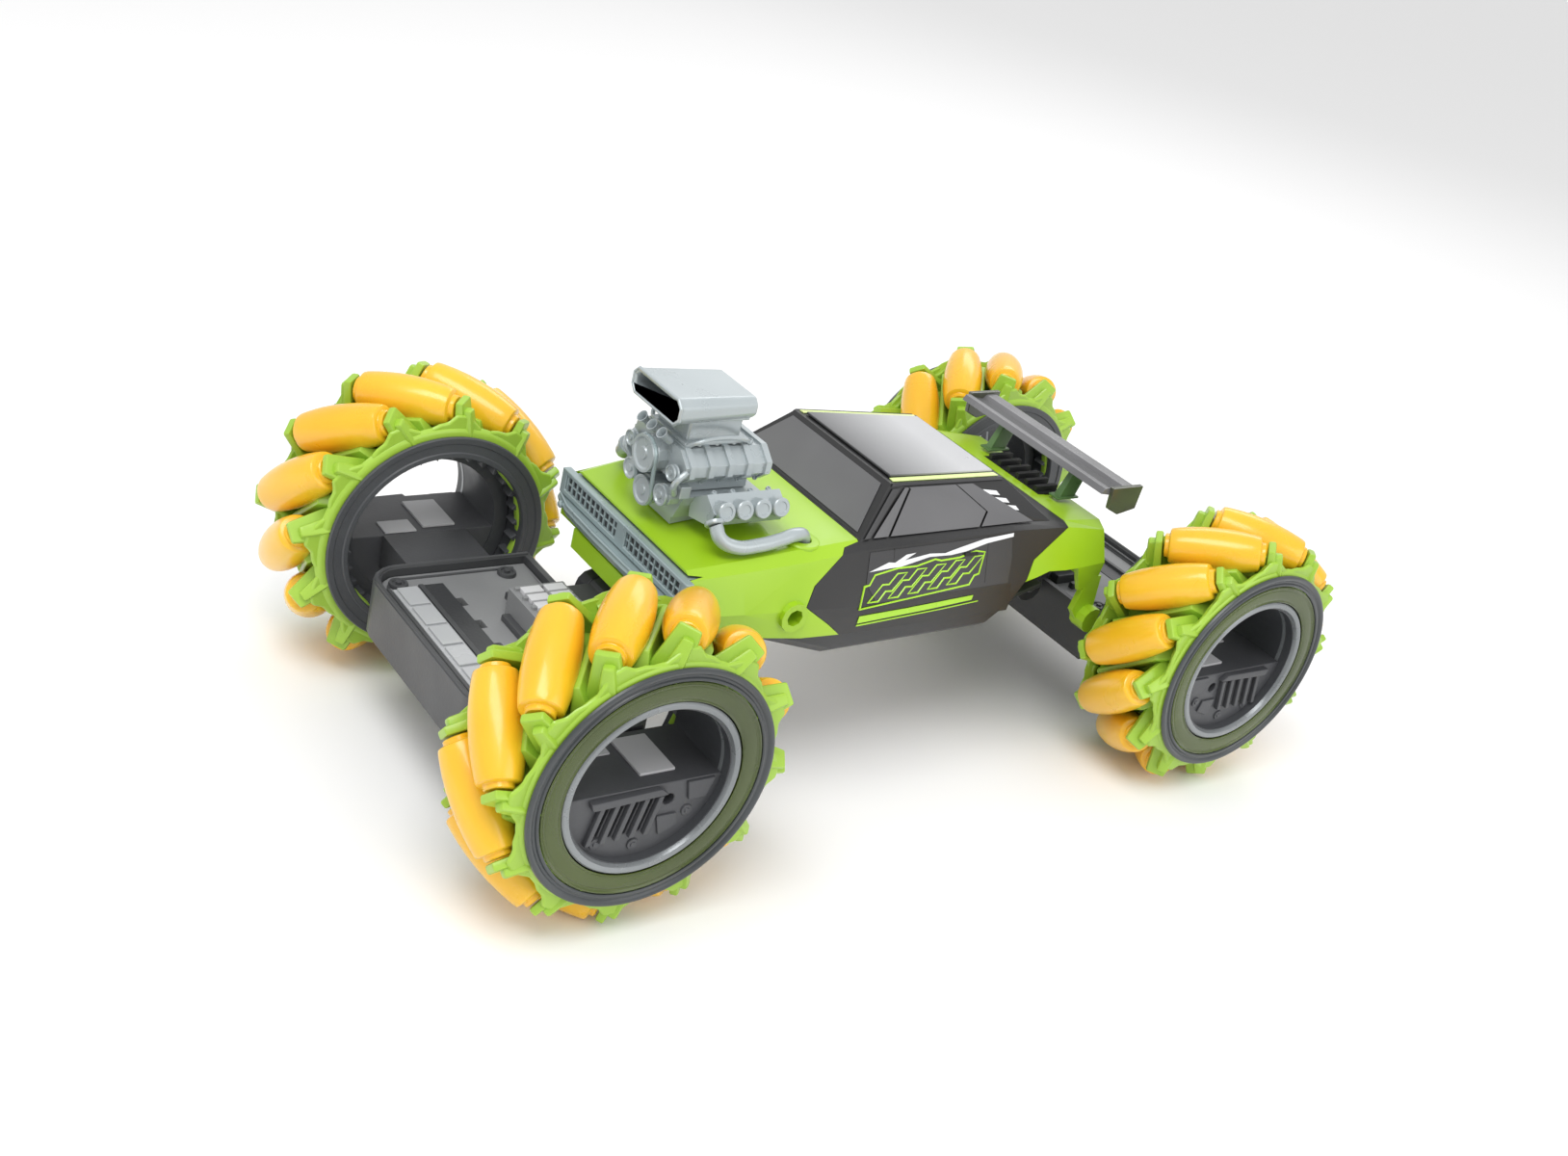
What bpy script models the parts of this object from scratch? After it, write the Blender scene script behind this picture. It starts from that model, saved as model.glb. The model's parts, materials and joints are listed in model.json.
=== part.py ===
"""A remote-controlled stunt car with four hubless mecanum wheels.

The front of the car is +X, its left side is +Y and the floor is z = 0.
Every size in this file is in millimetres; put_object writes the meshes in metres.
"""

import math

import bmesh
import bpy
from mathutils import Matrix, Vector

MM = 0.001
GAP = 0.3

# Driving dimensions.
WHEELBASE = 254.0
TRACK = 144.8
WHEEL_RADIUS = 52.0
WHEEL_WIDTH = 42.0
BODY_HALF_WIDTH = 45.5
BODY_FRONT = 88.0
BODY_REAR = 92.0
ROOF_HEIGHT = 60.3
PIVOT_X = 86.0

# Heights from the axles, which stand as high above the floor as standing_height says.
BELLY_DROP = 5.9
PIVOT_DROP = 2.0

# Wheel: radii are fractions of the wheel's own radius, widths run from its middle plane.
ROLLER_COUNT = 12
ROLLER_ANGLE = math.radians(42)
ROLLER_PHASE = math.radians(20)
ROLLER_RADIUS = 0.154 * WHEEL_RADIUS
ROLLER_END_RADIUS = 0.119 * WHEEL_RADIUS
ROLLER_NECK_RADIUS = 0.077 * WHEEL_RADIUS
ROLLER_CENTRE = WHEEL_RADIUS - ROLLER_RADIUS
ROLLER_HALF = (WHEEL_WIDTH / 2 - 9.1) / math.cos(ROLLER_ANGLE)
NECK_LENGTH = 1.6
EAR_THICKNESS = 3.4
EAR_WIDTH = 0.173 * WHEEL_RADIUS
EAR_TIP = 0.95 * WHEEL_RADIUS
FLANGE_RADIUS = 0.81 * WHEEL_RADIUS
RIM_RADIUS = 0.77 * WHEEL_RADIUS
RIM_INNER = 0.69 * WHEEL_RADIUS
DRUM_OUTER = 0.658 * WHEEL_RADIUS
DRUM_INNER = 0.635 * WHEEL_RADIUS
HOOP_INNER = 0.695 * WHEEL_RADIUS
HOOP_OUTER = 0.735 * WHEEL_RADIUS
HALF_WIDTH = WHEEL_WIDTH / 2
FLANGE_INNER = HALF_WIDTH - 3.8
FLANGE_OUTER = HALF_WIDTH - 1.5

# Internal gear of each wheel and the pinion that drives it.
RING_TEETH = 32
PINION_TEETH = 8
RING_PITCH = 0.577 * WHEEL_RADIUS
PINION_PITCH = RING_PITCH * PINION_TEETH / RING_TEETH
ADDENDUM = 0.019 * WHEEL_RADIUS
DEDENDUM = 0.024 * WHEEL_RADIUS
GEAR_BORE_WALL = 0.621 * WHEEL_RADIUS
ROOT_RELIEF = 0.0067 * WHEEL_RADIUS
LIP_STEP = 0.023 * WHEEL_RADIUS
PINION_DROP = RING_PITCH - PINION_PITCH
BACKLASH = 0.5
SHAFT_RADIUS = 1.1
# A pinion tooth points down into the gap between two of the ring's teeth.
PINION_PHASE = math.radians(-90)
RING_PHASE = math.radians(-90) + math.pi / RING_TEETH
GEAR_FACE = (-HALF_WIDTH + 3, -HALF_WIDTH + 8.5)

# Stationary hub inside each wheel.
HUB_INNER = 0.496 * WHEEL_RADIUS
HUB_OUTER = 0.55 * WHEEL_RADIUS
HUB_BEARING = 0.592 * WHEEL_RADIUS
HUB_START = -HALF_WIDTH + 10.5
HUB_END = HALF_WIDTH - 0.8
MOTOR_RADIUS = 0.125 * WHEEL_RADIUS
POCKET_TOP = -4.5
MOTOR_DROP = MOTOR_RADIUS + 1.0 - POCKET_TOP
ARM_TOP = -1.5
ARM_CLEARANCE = 1.1
ARM_BOTTOM = PINION_PITCH + ADDENDUM - BACKLASH + ARM_CLEARANCE - PINION_DROP
ARM_HALF = 0.29 * WHEEL_RADIUS

STEPS = 20


# ---------------------------------------------------------------- scene and materials

def empty_scene():
    for item in list(bpy.data.objects):
        bpy.data.objects.remove(item, do_unlink=True)


def new_collection(name):
    group = bpy.data.collections.new(name)
    bpy.context.scene.collection.children.link(group)
    return group


def new_material(name, colour, roughness, metallic=0.0, alpha=1.0):
    made = bpy.data.materials.new(name)
    made.use_nodes = True
    shader = made.node_tree.nodes["Principled BSDF"]
    shader.inputs["Base Color"].default_value = (*colour, 1.0)
    shader.inputs["Roughness"].default_value = roughness
    shader.inputs["Metallic"].default_value = metallic
    shader.inputs["Alpha"].default_value = alpha
    return made


empty_scene()
CAR = new_collection("stunt_car")
WORKSHOP = new_collection("cutters")

GREEN = new_material("lime_gloss_plastic", (0.36, 0.66, 0.05), 0.3)
YELLOW = new_material("roller_yellow", (0.9, 0.55, 0.05), 0.3)
BLACK = new_material("black_gloss_plastic", (0.03, 0.03, 0.035), 0.35)
DARK = new_material("dark_grey_plastic", (0.07, 0.07, 0.075), 0.5)
SMOKE = new_material("smoky_olive_plastic", (0.08, 0.1, 0.02), 0.25, alpha=0.9)
SILVER = new_material("silver_plastic", (0.55, 0.6, 0.6), 0.35, 0.3)
GREY = new_material("light_grey_plastic", (0.5, 0.5, 0.5), 0.45)
ROOF_GREY = new_material("roof_grey_plastic", (0.3, 0.3, 0.3), 0.4)
STEEL = new_material("steel", (0.6, 0.6, 0.6), 0.3, 1.0)
BOARD = new_material("circuit_board", (0.03, 0.2, 0.08), 0.5)
WRAP = new_material("battery_wrap", (0.05, 0.15, 0.5), 0.5)


# ---------------------------------------------------------------- modelling helpers

def workshop_object(mesh):
    item = bpy.data.objects.new("working_shape", mesh)
    item.hide_render = True
    item.display_type = "WIRE"
    WORKSHOP.objects.link(item)
    return item


def mesh_from(bm):
    """A mesh with its faces pointing out."""
    bmesh.ops.recalc_face_normals(bm, faces=bm.faces)
    if bm.calc_volume(signed=True) < 0:
        bmesh.ops.reverse_faces(bm, faces=bm.faces)
    mesh = bpy.data.meshes.new("shape")
    bm.to_mesh(mesh)
    bm.free()
    return mesh


def evaluated_mesh(item):
    bpy.context.view_layer.update()
    ready = item.evaluated_get(bpy.context.evaluated_depsgraph_get())
    mesh = bpy.data.meshes.new_from_object(ready)
    bpy.data.objects.remove(item, do_unlink=True)
    return mesh


def block(x_range, y_range, z_range):
    """A box between two values along each axis."""
    bm = bmesh.new()
    bmesh.ops.create_cube(bm, size=1.0)
    ranges = (x_range, y_range, z_range)
    size = [high - low for low, high in ranges]
    middle = [(high + low) / 2 for low, high in ranges]
    bmesh.ops.scale(bm, vec=size, verts=bm.verts)
    bmesh.ops.translate(bm, vec=middle, verts=bm.verts)
    return mesh_from(bm)


def rod(radius, start, end, segments=16, end_radius=None):
    """A cylinder or cone between two points."""
    start, end = Vector(start), Vector(end)
    bm = bmesh.new()
    bmesh.ops.create_cone(
        bm, cap_ends=True, segments=segments, radius1=radius,
        radius2=radius if end_radius is None else end_radius, depth=(end - start).length)
    turn = Vector((0, 0, 1)).rotation_difference((end - start).normalized())
    bmesh.ops.transform(bm, matrix=turn.to_matrix().to_4x4(), verts=bm.verts)
    bmesh.ops.translate(bm, vec=(start + end) / 2, verts=bm.verts)
    return mesh_from(bm)


def turned(profile, steps=STEPS, closed=True):
    """A turned shape about the Y axis, from a profile of (radius, place along Y) points."""
    bm = bmesh.new()
    verts = [bm.verts.new((radius, 0, along)) for radius, along in profile]
    for first, second in zip(verts, verts[1:]):
        bm.edges.new((first, second))
    if closed:
        bm.edges.new((verts[-1], verts[0]))
    mesh = bpy.data.meshes.new("profile")
    bm.to_mesh(mesh)
    bm.free()
    item = workshop_object(mesh)
    screw = item.modifiers.new("Screw", "SCREW")
    screw.steps = steps
    screw.render_steps = steps
    screw.use_merge_vertices = True
    screw.merge_threshold = 0.0001
    mesh = evaluated_mesh(item)
    mesh.transform(Matrix.Rotation(-math.pi / 2, 4, "X"))
    bm = bmesh.new()
    bm.from_mesh(mesh)
    return mesh_from(bm)


def extruded(outline, low, high, plane="XY"):
    """A flat outline given a thickness: in plan (XY) along Z, or from the side (XZ) along Y."""
    curve = bpy.data.curves.new("outline", "CURVE")
    curve.dimensions = "2D"
    curve.fill_mode = "BOTH"
    curve.extrude = (high - low) / 2
    spline = curve.splines.new("POLY")
    spline.points.add(len(outline) - 1)
    for point, (first, second) in zip(spline.points, outline):
        point.co = (first, second, 0, 1)
    spline.use_cyclic_u = True
    item = bpy.data.objects.new("outline", curve)
    WORKSHOP.objects.link(item)
    mesh = evaluated_mesh(item)
    bm = bmesh.new()
    bm.from_mesh(mesh)
    bmesh.ops.remove_doubles(bm, verts=bm.verts, dist=0.001)
    bmesh.ops.translate(bm, vec=(0, 0, (high + low) / 2), verts=bm.verts)
    if plane == "XZ":
        bmesh.ops.rotate(bm, cent=(0, 0, 0), matrix=Matrix.Rotation(math.pi / 2, 3, "X"),
                         verts=bm.verts)
        bmesh.ops.scale(bm, vec=(1, -1, 1), verts=bm.verts)
    return mesh_from(bm)


def loft(sections):
    """A solid through closed sections that have the same number of points."""
    bm = bmesh.new()
    loops = [[bm.verts.new(point) for point in section] for section in sections]
    for loop, following in zip(loops, loops[1:]):
        for i in range(len(loop)):
            j = (i + 1) % len(loop)
            bm.faces.new((loop[i], loop[j], following[j], following[i]))
    bm.faces.new(loops[0][::-1])
    bm.faces.new(loops[-1])
    return mesh_from(bm)


def tube(points, radius, resolution=2):
    """A round bar along a smooth line, made a closed mesh."""
    curve = bpy.data.curves.new("bar", "CURVE")
    curve.dimensions = "3D"
    curve.bevel_depth = radius
    curve.bevel_resolution = resolution
    curve.use_fill_caps = True
    spline = curve.splines.new("POLY")
    spline.points.add(len(points) - 1)
    for point, place in zip(spline.points, points):
        point.co = (*place, 1)
    item = bpy.data.objects.new("bar", curve)
    WORKSHOP.objects.link(item)
    mesh = evaluated_mesh(item)
    bm = bmesh.new()
    bm.from_mesh(mesh)
    bmesh.ops.remove_doubles(bm, verts=bm.verts, dist=0.001)
    return mesh_from(bm)


def boolean(base, other, operation):
    """The base mesh with the other mesh joined, cut away or kept in common."""
    item = workshop_object(base)
    tool = workshop_object(other)
    modifier = item.modifiers.new("Boolean", "BOOLEAN")
    modifier.object = tool
    modifier.operation = operation
    modifier.solver = "EXACT"
    mesh = evaluated_mesh(item)
    bpy.data.objects.remove(tool, do_unlink=True)
    return mesh


def union(base, *others):
    for other in others:
        base = boolean(base, other, "UNION")
    return base


def cut(base, *others):
    for other in others:
        base = boolean(base, other, "DIFFERENCE")
    return base


def common(base, other):
    return boolean(base, other, "INTERSECT")


def gathered(meshes):
    """Separate shapes in one mesh, to be joined or cut together."""
    bm = bmesh.new()
    for mesh in meshes:
        bm.from_mesh(mesh)
    return mesh_from(bm)


def mirrored(mesh, axis):
    made = mesh.copy()
    scale = [1, 1, 1]
    scale[axis] = -1
    made.transform(Matrix.Diagonal((*scale, 1)))
    made.flip_normals()
    return made


def arc(centre, radius, start, end, count):
    """Points on a round corner, with angles in degrees."""
    points = []
    for i in range(count):
        angle = math.radians(start + (end - start) * i / (count - 1))
        points.append((centre[0] + radius * math.cos(angle), centre[1] + radius * math.sin(angle)))
    return points


def new_empty(name, place, parent=None):
    item = bpy.data.objects.new(name, None)
    item.location = [value * MM for value in place]
    item.parent = parent
    CAR.objects.link(item)
    return item


def put_object(name, mesh, material, parent, place=(0, 0, 0)):
    """A finished piece, with its origin at a place measured from its parent."""
    made = mesh.copy()
    made.name = name
    made.transform(Matrix.Scale(MM, 4))
    made.materials.clear()
    made.materials.append(material)
    made.shade_smooth()
    made.set_sharp_from_angle(angle=math.radians(35))
    item = bpy.data.objects.new(name, made)
    item.location = [value * MM for value in place]
    item.parent = parent
    CAR.objects.link(item)
    return item


# ---------------------------------------------------------------- wheel

def roller_frame(index):
    """Place and axes of one roller: along it towards the outside, outwards, and across."""
    angle = ROLLER_PHASE + index * 2 * math.pi / ROLLER_COUNT
    outward = Vector((math.cos(angle), 0, math.sin(angle)))
    around = Vector((-math.sin(angle), 0, math.cos(angle)))
    along = math.cos(ROLLER_ANGLE) * Vector((0, 1, 0)) - math.sin(ROLLER_ANGLE) * around
    return outward * ROLLER_CENTRE, along, outward, outward.cross(along)


def frame_matrix(place, along, outward, across):
    matrix = Matrix((across, outward, along)).transposed().to_4x4()
    matrix.translation = place
    return matrix


def roller():
    """One barrel with tapered ends, along Z, with a corner of its round on Y."""
    rings = ((-ROLLER_HALF - NECK_LENGTH, ROLLER_NECK_RADIUS), (-ROLLER_HALF, ROLLER_END_RADIUS),
             (0, ROLLER_RADIUS), (ROLLER_HALF, ROLLER_END_RADIUS),
             (ROLLER_HALF + NECK_LENGTH, ROLLER_NECK_RADIUS))
    sides = 6
    sections = []
    for along, radius in rings:
        sections.append([(radius * math.sin(2 * math.pi * i / sides),
                          radius * math.cos(2 * math.pi * i / sides), along)
                         for i in range(sides)])
    return loft(sections)


def standing_height():
    """How far below the axle the lowest corner of the faceted rollers is."""
    lowest = 0.0
    for index in range(ROLLER_COUNT):
        barrel = roller()
        barrel.transform(frame_matrix(*roller_frame(index)))
        lowest = min(lowest, min(vertex.co.z for vertex in barrel.vertices))
    return -lowest


AXLE_Z = standing_height()
CHASSIS_Z = AXLE_Z - BELLY_DROP


def rollers():
    """The twelve rollers, held together by a hoop that runs in the wheel's channel."""
    barrels = []
    for index in range(ROLLER_COUNT):
        barrel = roller()
        barrel.transform(frame_matrix(*roller_frame(index)))
        barrels.append(barrel)
    hoop = turned([(HOOP_OUTER, 2), (HOOP_OUTER, -2), (HOOP_INNER, -2), (HOOP_INNER, 2)],
                  ROLLER_COUNT)
    return union(hoop, gathered(barrels))


def wheel_frame():
    """A spool-shaped ring with an ear in front of each end of each roller."""
    spool = turned([(FLANGE_RADIUS, FLANGE_OUTER), (FLANGE_RADIUS, FLANGE_INNER),
                    (DRUM_OUTER, FLANGE_INNER), (DRUM_OUTER, -FLANGE_INNER),
                    (FLANGE_RADIUS, -FLANGE_INNER), (FLANGE_RADIUS, -FLANGE_OUTER),
                    (DRUM_INNER, -FLANGE_OUTER), (DRUM_INNER, FLANGE_OUTER)])
    first = ROLLER_HALF + NECK_LENGTH + GAP
    ears = []
    for index in range(ROLLER_COUNT):
        place, along, outward, across = roller_frame(index)
        for side in (-1, 1):
            centre = place + along * side * (first + EAR_THICKNESS / 2)
            aside = (ROLLER_HALF + NECK_LENGTH) * math.sin(ROLLER_ANGLE)
            foot = math.sqrt(DRUM_OUTER ** 2 - aside ** 2) - ROLLER_CENTRE - 0.4
            tip = math.sqrt(EAR_TIP ** 2 - aside ** 2) - ROLLER_CENTRE
            wide, narrow = EAR_WIDTH / 2, EAR_WIDTH / 3.2
            sections = []
            for depth in (-EAR_THICKNESS / 2, EAR_THICKNESS / 2):
                corners = ((-wide, foot), (wide, foot), (narrow, tip), (-narrow, tip))
                sections.append([centre + across * a + outward * b + along * side * depth
                                 for a, b in corners])
            ears.append(loft(sections))
    return union(spool, gathered(ears))


def gear_outline(teeth, tip, root, phase=0.0):
    """A gear's outline: pointed teeth between a tip radius and a root radius."""
    points = []
    for corner in range(2 * teeth):
        radius = root if corner % 2 else tip
        angle = phase + corner * math.pi / teeth
        points.append((radius * math.cos(angle), radius * math.sin(angle)))
    return points


def ring_gear():
    """The dark inner rim: a tube inside the drum with the driven teeth and a broad inner lip."""
    bore = RING_PITCH + DEDENDUM
    tip, root = RING_PITCH - ADDENDUM, bore + ROOT_RELIEF
    lip = RIM_RADIUS - LIP_STEP
    back = -HALF_WIDTH
    # Each row is a radius at the teeth's tips, a radius between them, and a place along the axle.
    wall = GEAR_BORE_WALL
    rows = ((wall, wall, FLANGE_OUTER), (wall, wall, back + 1.2),
            (lip, lip, back + 1.2), (lip, lip, back), (bore, bore, back),
            (bore, bore, GEAR_FACE[0]), (tip, root, GEAR_FACE[0]), (tip, root, GEAR_FACE[1]),
            (bore, bore, GEAR_FACE[1]), (bore, bore, FLANGE_OUTER))
    bm = bmesh.new()
    loops = []
    for corner in range(2 * RING_TEETH):
        angle = RING_PHASE + corner * math.pi / RING_TEETH
        loops.append([bm.verts.new((row[corner % 2] * math.cos(angle), row[2],
                                    row[corner % 2] * math.sin(angle))) for row in rows])
    for loop, following in zip(loops, loops[1:] + loops[:1]):
        for i in range(len(rows)):
            j = (i + 1) % len(rows)
            bm.faces.new((loop[i], loop[j], following[j], following[i]))
    return mesh_from(bm)


def pinion():
    """The small drive gear on its shaft, centred on its own axis."""
    outline = gear_outline(PINION_TEETH, PINION_PITCH + ADDENDUM - BACKLASH,
                           PINION_PITCH - DEDENDUM - BACKLASH, PINION_PHASE)
    gear = extruded(outline, *GEAR_FACE, "XZ")
    shaft = rod(SHAFT_RADIUS, (0, GEAR_FACE[0], 0), (0, HUB_START + 8, 0), 8)
    return union(gear, shaft)


def outer_rim():
    """The black ring round the wheel's outer face."""
    return turned([(RIM_RADIUS, HALF_WIDTH), (RIM_RADIUS, FLANGE_OUTER + GAP),
                   (RIM_INNER, FLANGE_OUTER + GAP), (RIM_INNER, HALF_WIDTH)])


def window_ring():
    """The smoky flat ring inside the black one."""
    inner = HUB_OUTER + 0.7
    outer = RIM_INNER - GAP
    return turned([(outer, FLANGE_OUTER + 1.1), (outer, FLANGE_OUTER + GAP),
                   (inner, FLANGE_OUTER + GAP), (inner, FLANGE_OUTER + 1.1)])


def half_disc(radius, top, count=9):
    """The part of a disc below a level, as an outline."""
    start = 180 + math.degrees(math.asin(-top / radius))
    return arc((0, 0), radius, start, 540 - start, count)


def hub_carrier():
    """The fixed hub: a ring the wheel turns on, with a box across its lower part."""
    ring = turned([(HUB_OUTER, HUB_END), (HUB_OUTER, HUB_START + 2.5),
                   (HUB_BEARING, HUB_START + 2.5), (HUB_BEARING, HUB_START),
                   (HUB_INNER, HUB_START), (HUB_INNER, HUB_END)])
    box = extruded(half_disc(HUB_INNER + 0.8, -2), HUB_START + 0.5, HUB_END - 4, "XZ")
    pocket = extruded(half_disc(HUB_INNER - 1.2, POCKET_TOP), HUB_START - 1, HUB_END - 7, "XZ")
    slots = []
    for i in range(4):
        left = -3 + i * 4.2
        outline = [(left, -6), (left + 1.8, -6), (left + 4.4, -16), (left + 2.6, -16)]
        slots.append(extruded(outline, HUB_END - 8, HUB_END - 3, "XZ"))
    keyhole = rod(1.6, (-9, HUB_END - 8, -8), (-9, HUB_END - 3, -8), 8)
    return cut(union(ring, box), pocket, gathered(slots + [keyhole]))


def drive_motor():
    """The motor can inside the hub box."""
    can = rod(MOTOR_RADIUS, (0, HUB_START + 2, 0), (0, HUB_END - 9, 0), 10)
    boss = rod(2.2, (0, HUB_START + 0.5, 0), (0, HUB_START + 3, 0), 8)
    return union(can, boss)


# ---------------------------------------------------------------- axle modules

TRAY_REAR = PIVOT_X + 11
TRAY_FRONT = WHEELBASE / 2 + 30
TRAY_HALF = 43.0
TRAY_BOTTOM = -21.0
TRAY_TOP = -2.0
COVER_BOTTOM = -7.7
COVER_TOP = -4.6
WALL = 2.4
TONGUE_HALF = 13.0
TONGUE_RADIUS = 6.0
PIN_RADIUS = 2.0


def tray_outline(inset=0.0):
    """Plan of the front tray: square at the back, round corners in front."""
    front, half, rear = TRAY_FRONT - inset, TRAY_HALF - inset, TRAY_REAR + inset
    round_off = 11.0 - inset
    near = arc((front - round_off, half - round_off), round_off, 0, 90, 5)
    far = arc((front - round_off, round_off - half), round_off, -90, 0, 5)
    return [(rear, -half)] + far + near + [(rear, half)]


def axle_case():
    """Tray with an arm into each front wheel and a tongue back to the pivot.

    Measured from a point on the floor frame's centre plane at axle height.
    """
    case = cut(extruded(tray_outline(), TRAY_BOTTOM, TRAY_TOP),
               extruded(tray_outline(WALL), TRAY_BOTTOM + 2, TRAY_TOP + 1))
    ledge = block((TRAY_REAR + 1, TRAY_FRONT - 1), (-5, 5), (TRAY_BOTTOM + 1, COVER_BOTTOM - GAP))
    axle_x = WHEELBASE / 2
    arm_end = TRACK / 2 + HUB_START - GAP
    arms = []
    for side in (-1, 1):
        reach = sorted((side * (TRAY_HALF - WALL - 1), side * arm_end))
        inner = sorted((side * (TRAY_HALF - WALL - 1), side * (TRAY_HALF - 1)))
        arms.append(block((axle_x - ARM_HALF, axle_x + ARM_HALF),
                          sorted((side * (TRAY_HALF - 1), side * arm_end)), (ARM_BOTTOM, ARM_TOP)))
        arms.append(block((axle_x - ARM_HALF + 1, axle_x + ARM_HALF - 1), inner,
                          (ARM_BOTTOM + 1, COVER_BOTTOM - GAP)))
    tongue = union(block((PIVOT_X, TRAY_REAR + 4), (-TONGUE_HALF, TONGUE_HALF),
                         (-PIVOT_DROP - 5, -PIVOT_DROP + 4)),
                   rod(TONGUE_RADIUS, (PIVOT_X, -TONGUE_HALF, -PIVOT_DROP),
                       (PIVOT_X, TONGUE_HALF, -PIVOT_DROP), 12))
    root = block((TRAY_REAR, TRAY_REAR + 4), (-TONGUE_HALF, TONGUE_HALF), (-16, -PIVOT_DROP - 2))
    bore = rod(PIN_RADIUS + GAP, (PIVOT_X, -TONGUE_HALF - 1, -PIVOT_DROP),
               (PIVOT_X, TONGUE_HALF + 1, -PIVOT_DROP), 12)
    return cut(union(case, ledge, *arms, root, tongue), bore)


def axle_cover():
    """The lid of the tray, with a row of square holes and a raised gear housing at the back."""
    lid = extruded(tray_outline(WALL + GAP), COVER_BOTTOM, COVER_TOP)
    clear = block((0, TRAY_REAR + 4 + GAP), (-TONGUE_HALF - GAP, TONGUE_HALF + GAP), (-30, 30))
    housing_rear = TRAY_REAR + 4.6
    housing = block((housing_rear, housing_rear + 20), (-11, 11), (COVER_TOP - 1, 5))
    ribs = [block((housing_rear + 1, housing_rear + 19), (y - 0.8, y + 0.8), (4, 6.2))
            for y in (-9, -3, 3, 9)]
    holes = [block((WHEELBASE / 2 + 3.5, WHEELBASE / 2 + 8.5), (y - 2.5, y + 2.5), (-30, 0))
             for y in (-21, -7, 7, 21)]
    lid = cut(lid, clear, gathered(holes))
    return union(lid, union(housing, *ribs))


def light_bar():
    """The strip of five pale lenses across the front of the tray."""
    front = TRAY_FRONT - 5
    strip = block((front - 9, front), (-30, 30), (COVER_TOP + GAP, COVER_TOP + 1.6))
    lenses = [block((front - 8, front - 1), (y - 5.3, y + 5.3), (COVER_TOP + 1, COVER_TOP + 2.6))
              for y in (-24, -12, 0, 12, 24)]
    return union(strip, gathered(lenses))


def pivot_pin():
    return rod(PIN_RADIUS, (0, -TONGUE_HALF - 6.5, 0), (0, TONGUE_HALF + 6.5, 0), 12)


# ---------------------------------------------------------------- body, measured from CHASSIS_Z

BODY_WALL = 2.4
# The stations, the splits and the windows' form are drawn for a body of these three sizes.
PATTERN_FRONT, PATTERN_REAR, PATTERN_HALF_WIDTH = 88.0, 92.0, 45.5
FRONT_SPLIT = ((24.1, 70.3), (24.4, 44.8), (30.4, 43.7), (43.0, 33.5), (46.0, 27.0), (34.5, 19.0),
               (27.0, 13.0), (26.0, -20.0))
REAR_SPLIT = ((-71.3, 70.5), (-70.7, 43.5), (-54.0, 33.0), (-47.0, 17.0), (-46.0, -20.0))


def side_scale(value):
    """A place along the body, stretched with the body's front or rear end."""
    if value > 0:
        return value * BODY_FRONT / PATTERN_FRONT
    return value * BODY_REAR / PATTERN_REAR


def across(value):
    """A place across the body, stretched with the body's width."""
    return value * BODY_HALF_WIDTH / PATTERN_HALF_WIDTH


def body_section(x, low, crease, shoulder, top, width, inset=0.0):
    """One section across the body, as a closed loop. The inset makes the inside."""
    wide = across(width)
    foot = -40.0 if inset else low
    half = [(wide - 1 - inset, foot), (wide - inset, crease),
            (wide - 5.2 - inset, shoulder - inset / 2), (wide - 9 - inset, top - 1.2 - inset)]
    right = [(side_scale(x), -y, z) for y, z in reversed(half)]
    left = [(side_scale(x), y, z) for y, z in half]
    return left + right


BODY_STATIONS = ((88, 19, 27, 37, 40, 42.5), (70, 18, 27, 39, 42.5, 44.5), (45, 15, 26, 41, 45, 45.5),
                 (24, 14, 25, 43, 46.5, 45.5), (-44, 14, 26, 44, 46.5, 45.5),
                 (-70, 14, 28, 43, 45, 45.5), (-92, 19, 28, 39, 42.5, 43.5))


# How much lower the roof's rear edge is than its front edge.
ROOF_FALL = 3.1


def body_form(inset=0.0):
    sections = []
    for i, (x, low, crease, shoulder, top, width) in enumerate(BODY_STATIONS):
        end = 1 if i == 0 else -1 if i == len(BODY_STATIONS) - 1 else 0
        sections.append(body_section(x - end * inset, low, crease, shoulder, top, width, inset))
    return loft(sections)


def greenhouse(inset=0.0):
    """The windows' form: a low frustum from the belt line to the sloping roof."""
    base = 40.0 if not inset else 38.0
    front, rear, half = side_scale(28.6) - inset, side_scale(-69.5) + inset, across(40.2) - inset
    roof_front, roof_rear = side_scale(9.1) - inset / 2, side_scale(-45.4) + inset / 2
    front_half, rear_half = across(28.3) - inset, across(25.1) - inset
    lower = [(front, -half, base), (front, half, base), (rear, half, base), (rear, -half, base)]
    top_front, top_rear = ROOF_HEIGHT - inset, ROOF_HEIGHT - ROOF_FALL - inset
    upper = [(roof_front, -front_half, top_front), (roof_front, front_half, top_front),
             (roof_rear, rear_half, top_rear), (roof_rear, -rear_half, top_rear)]
    return loft([lower, upper])


def region(points, end, gap):
    """A tall prism from a split line to one end of the body, kept a gap away from the line."""
    side = 1 if end > 0 else -1
    line = [(side_scale(x) + side * gap, z) for x, z in points]
    outline = line + [(end, line[-1][1]), (end, line[0][1])]
    return extruded(outline, -80, 80, "XZ")


# Side bosses of the front moulding, the opening behind the grille, and the exhausts' far ends.
BOSS_X, BOSS_LEVEL = 51.0, 24.5
GRILLE_HALF = BODY_HALF_WIDTH - 9.5
PIPE_RADIUS = 2.3
PIPE_END_X, PIPE_END_Y = 42.8, 31.2


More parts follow.
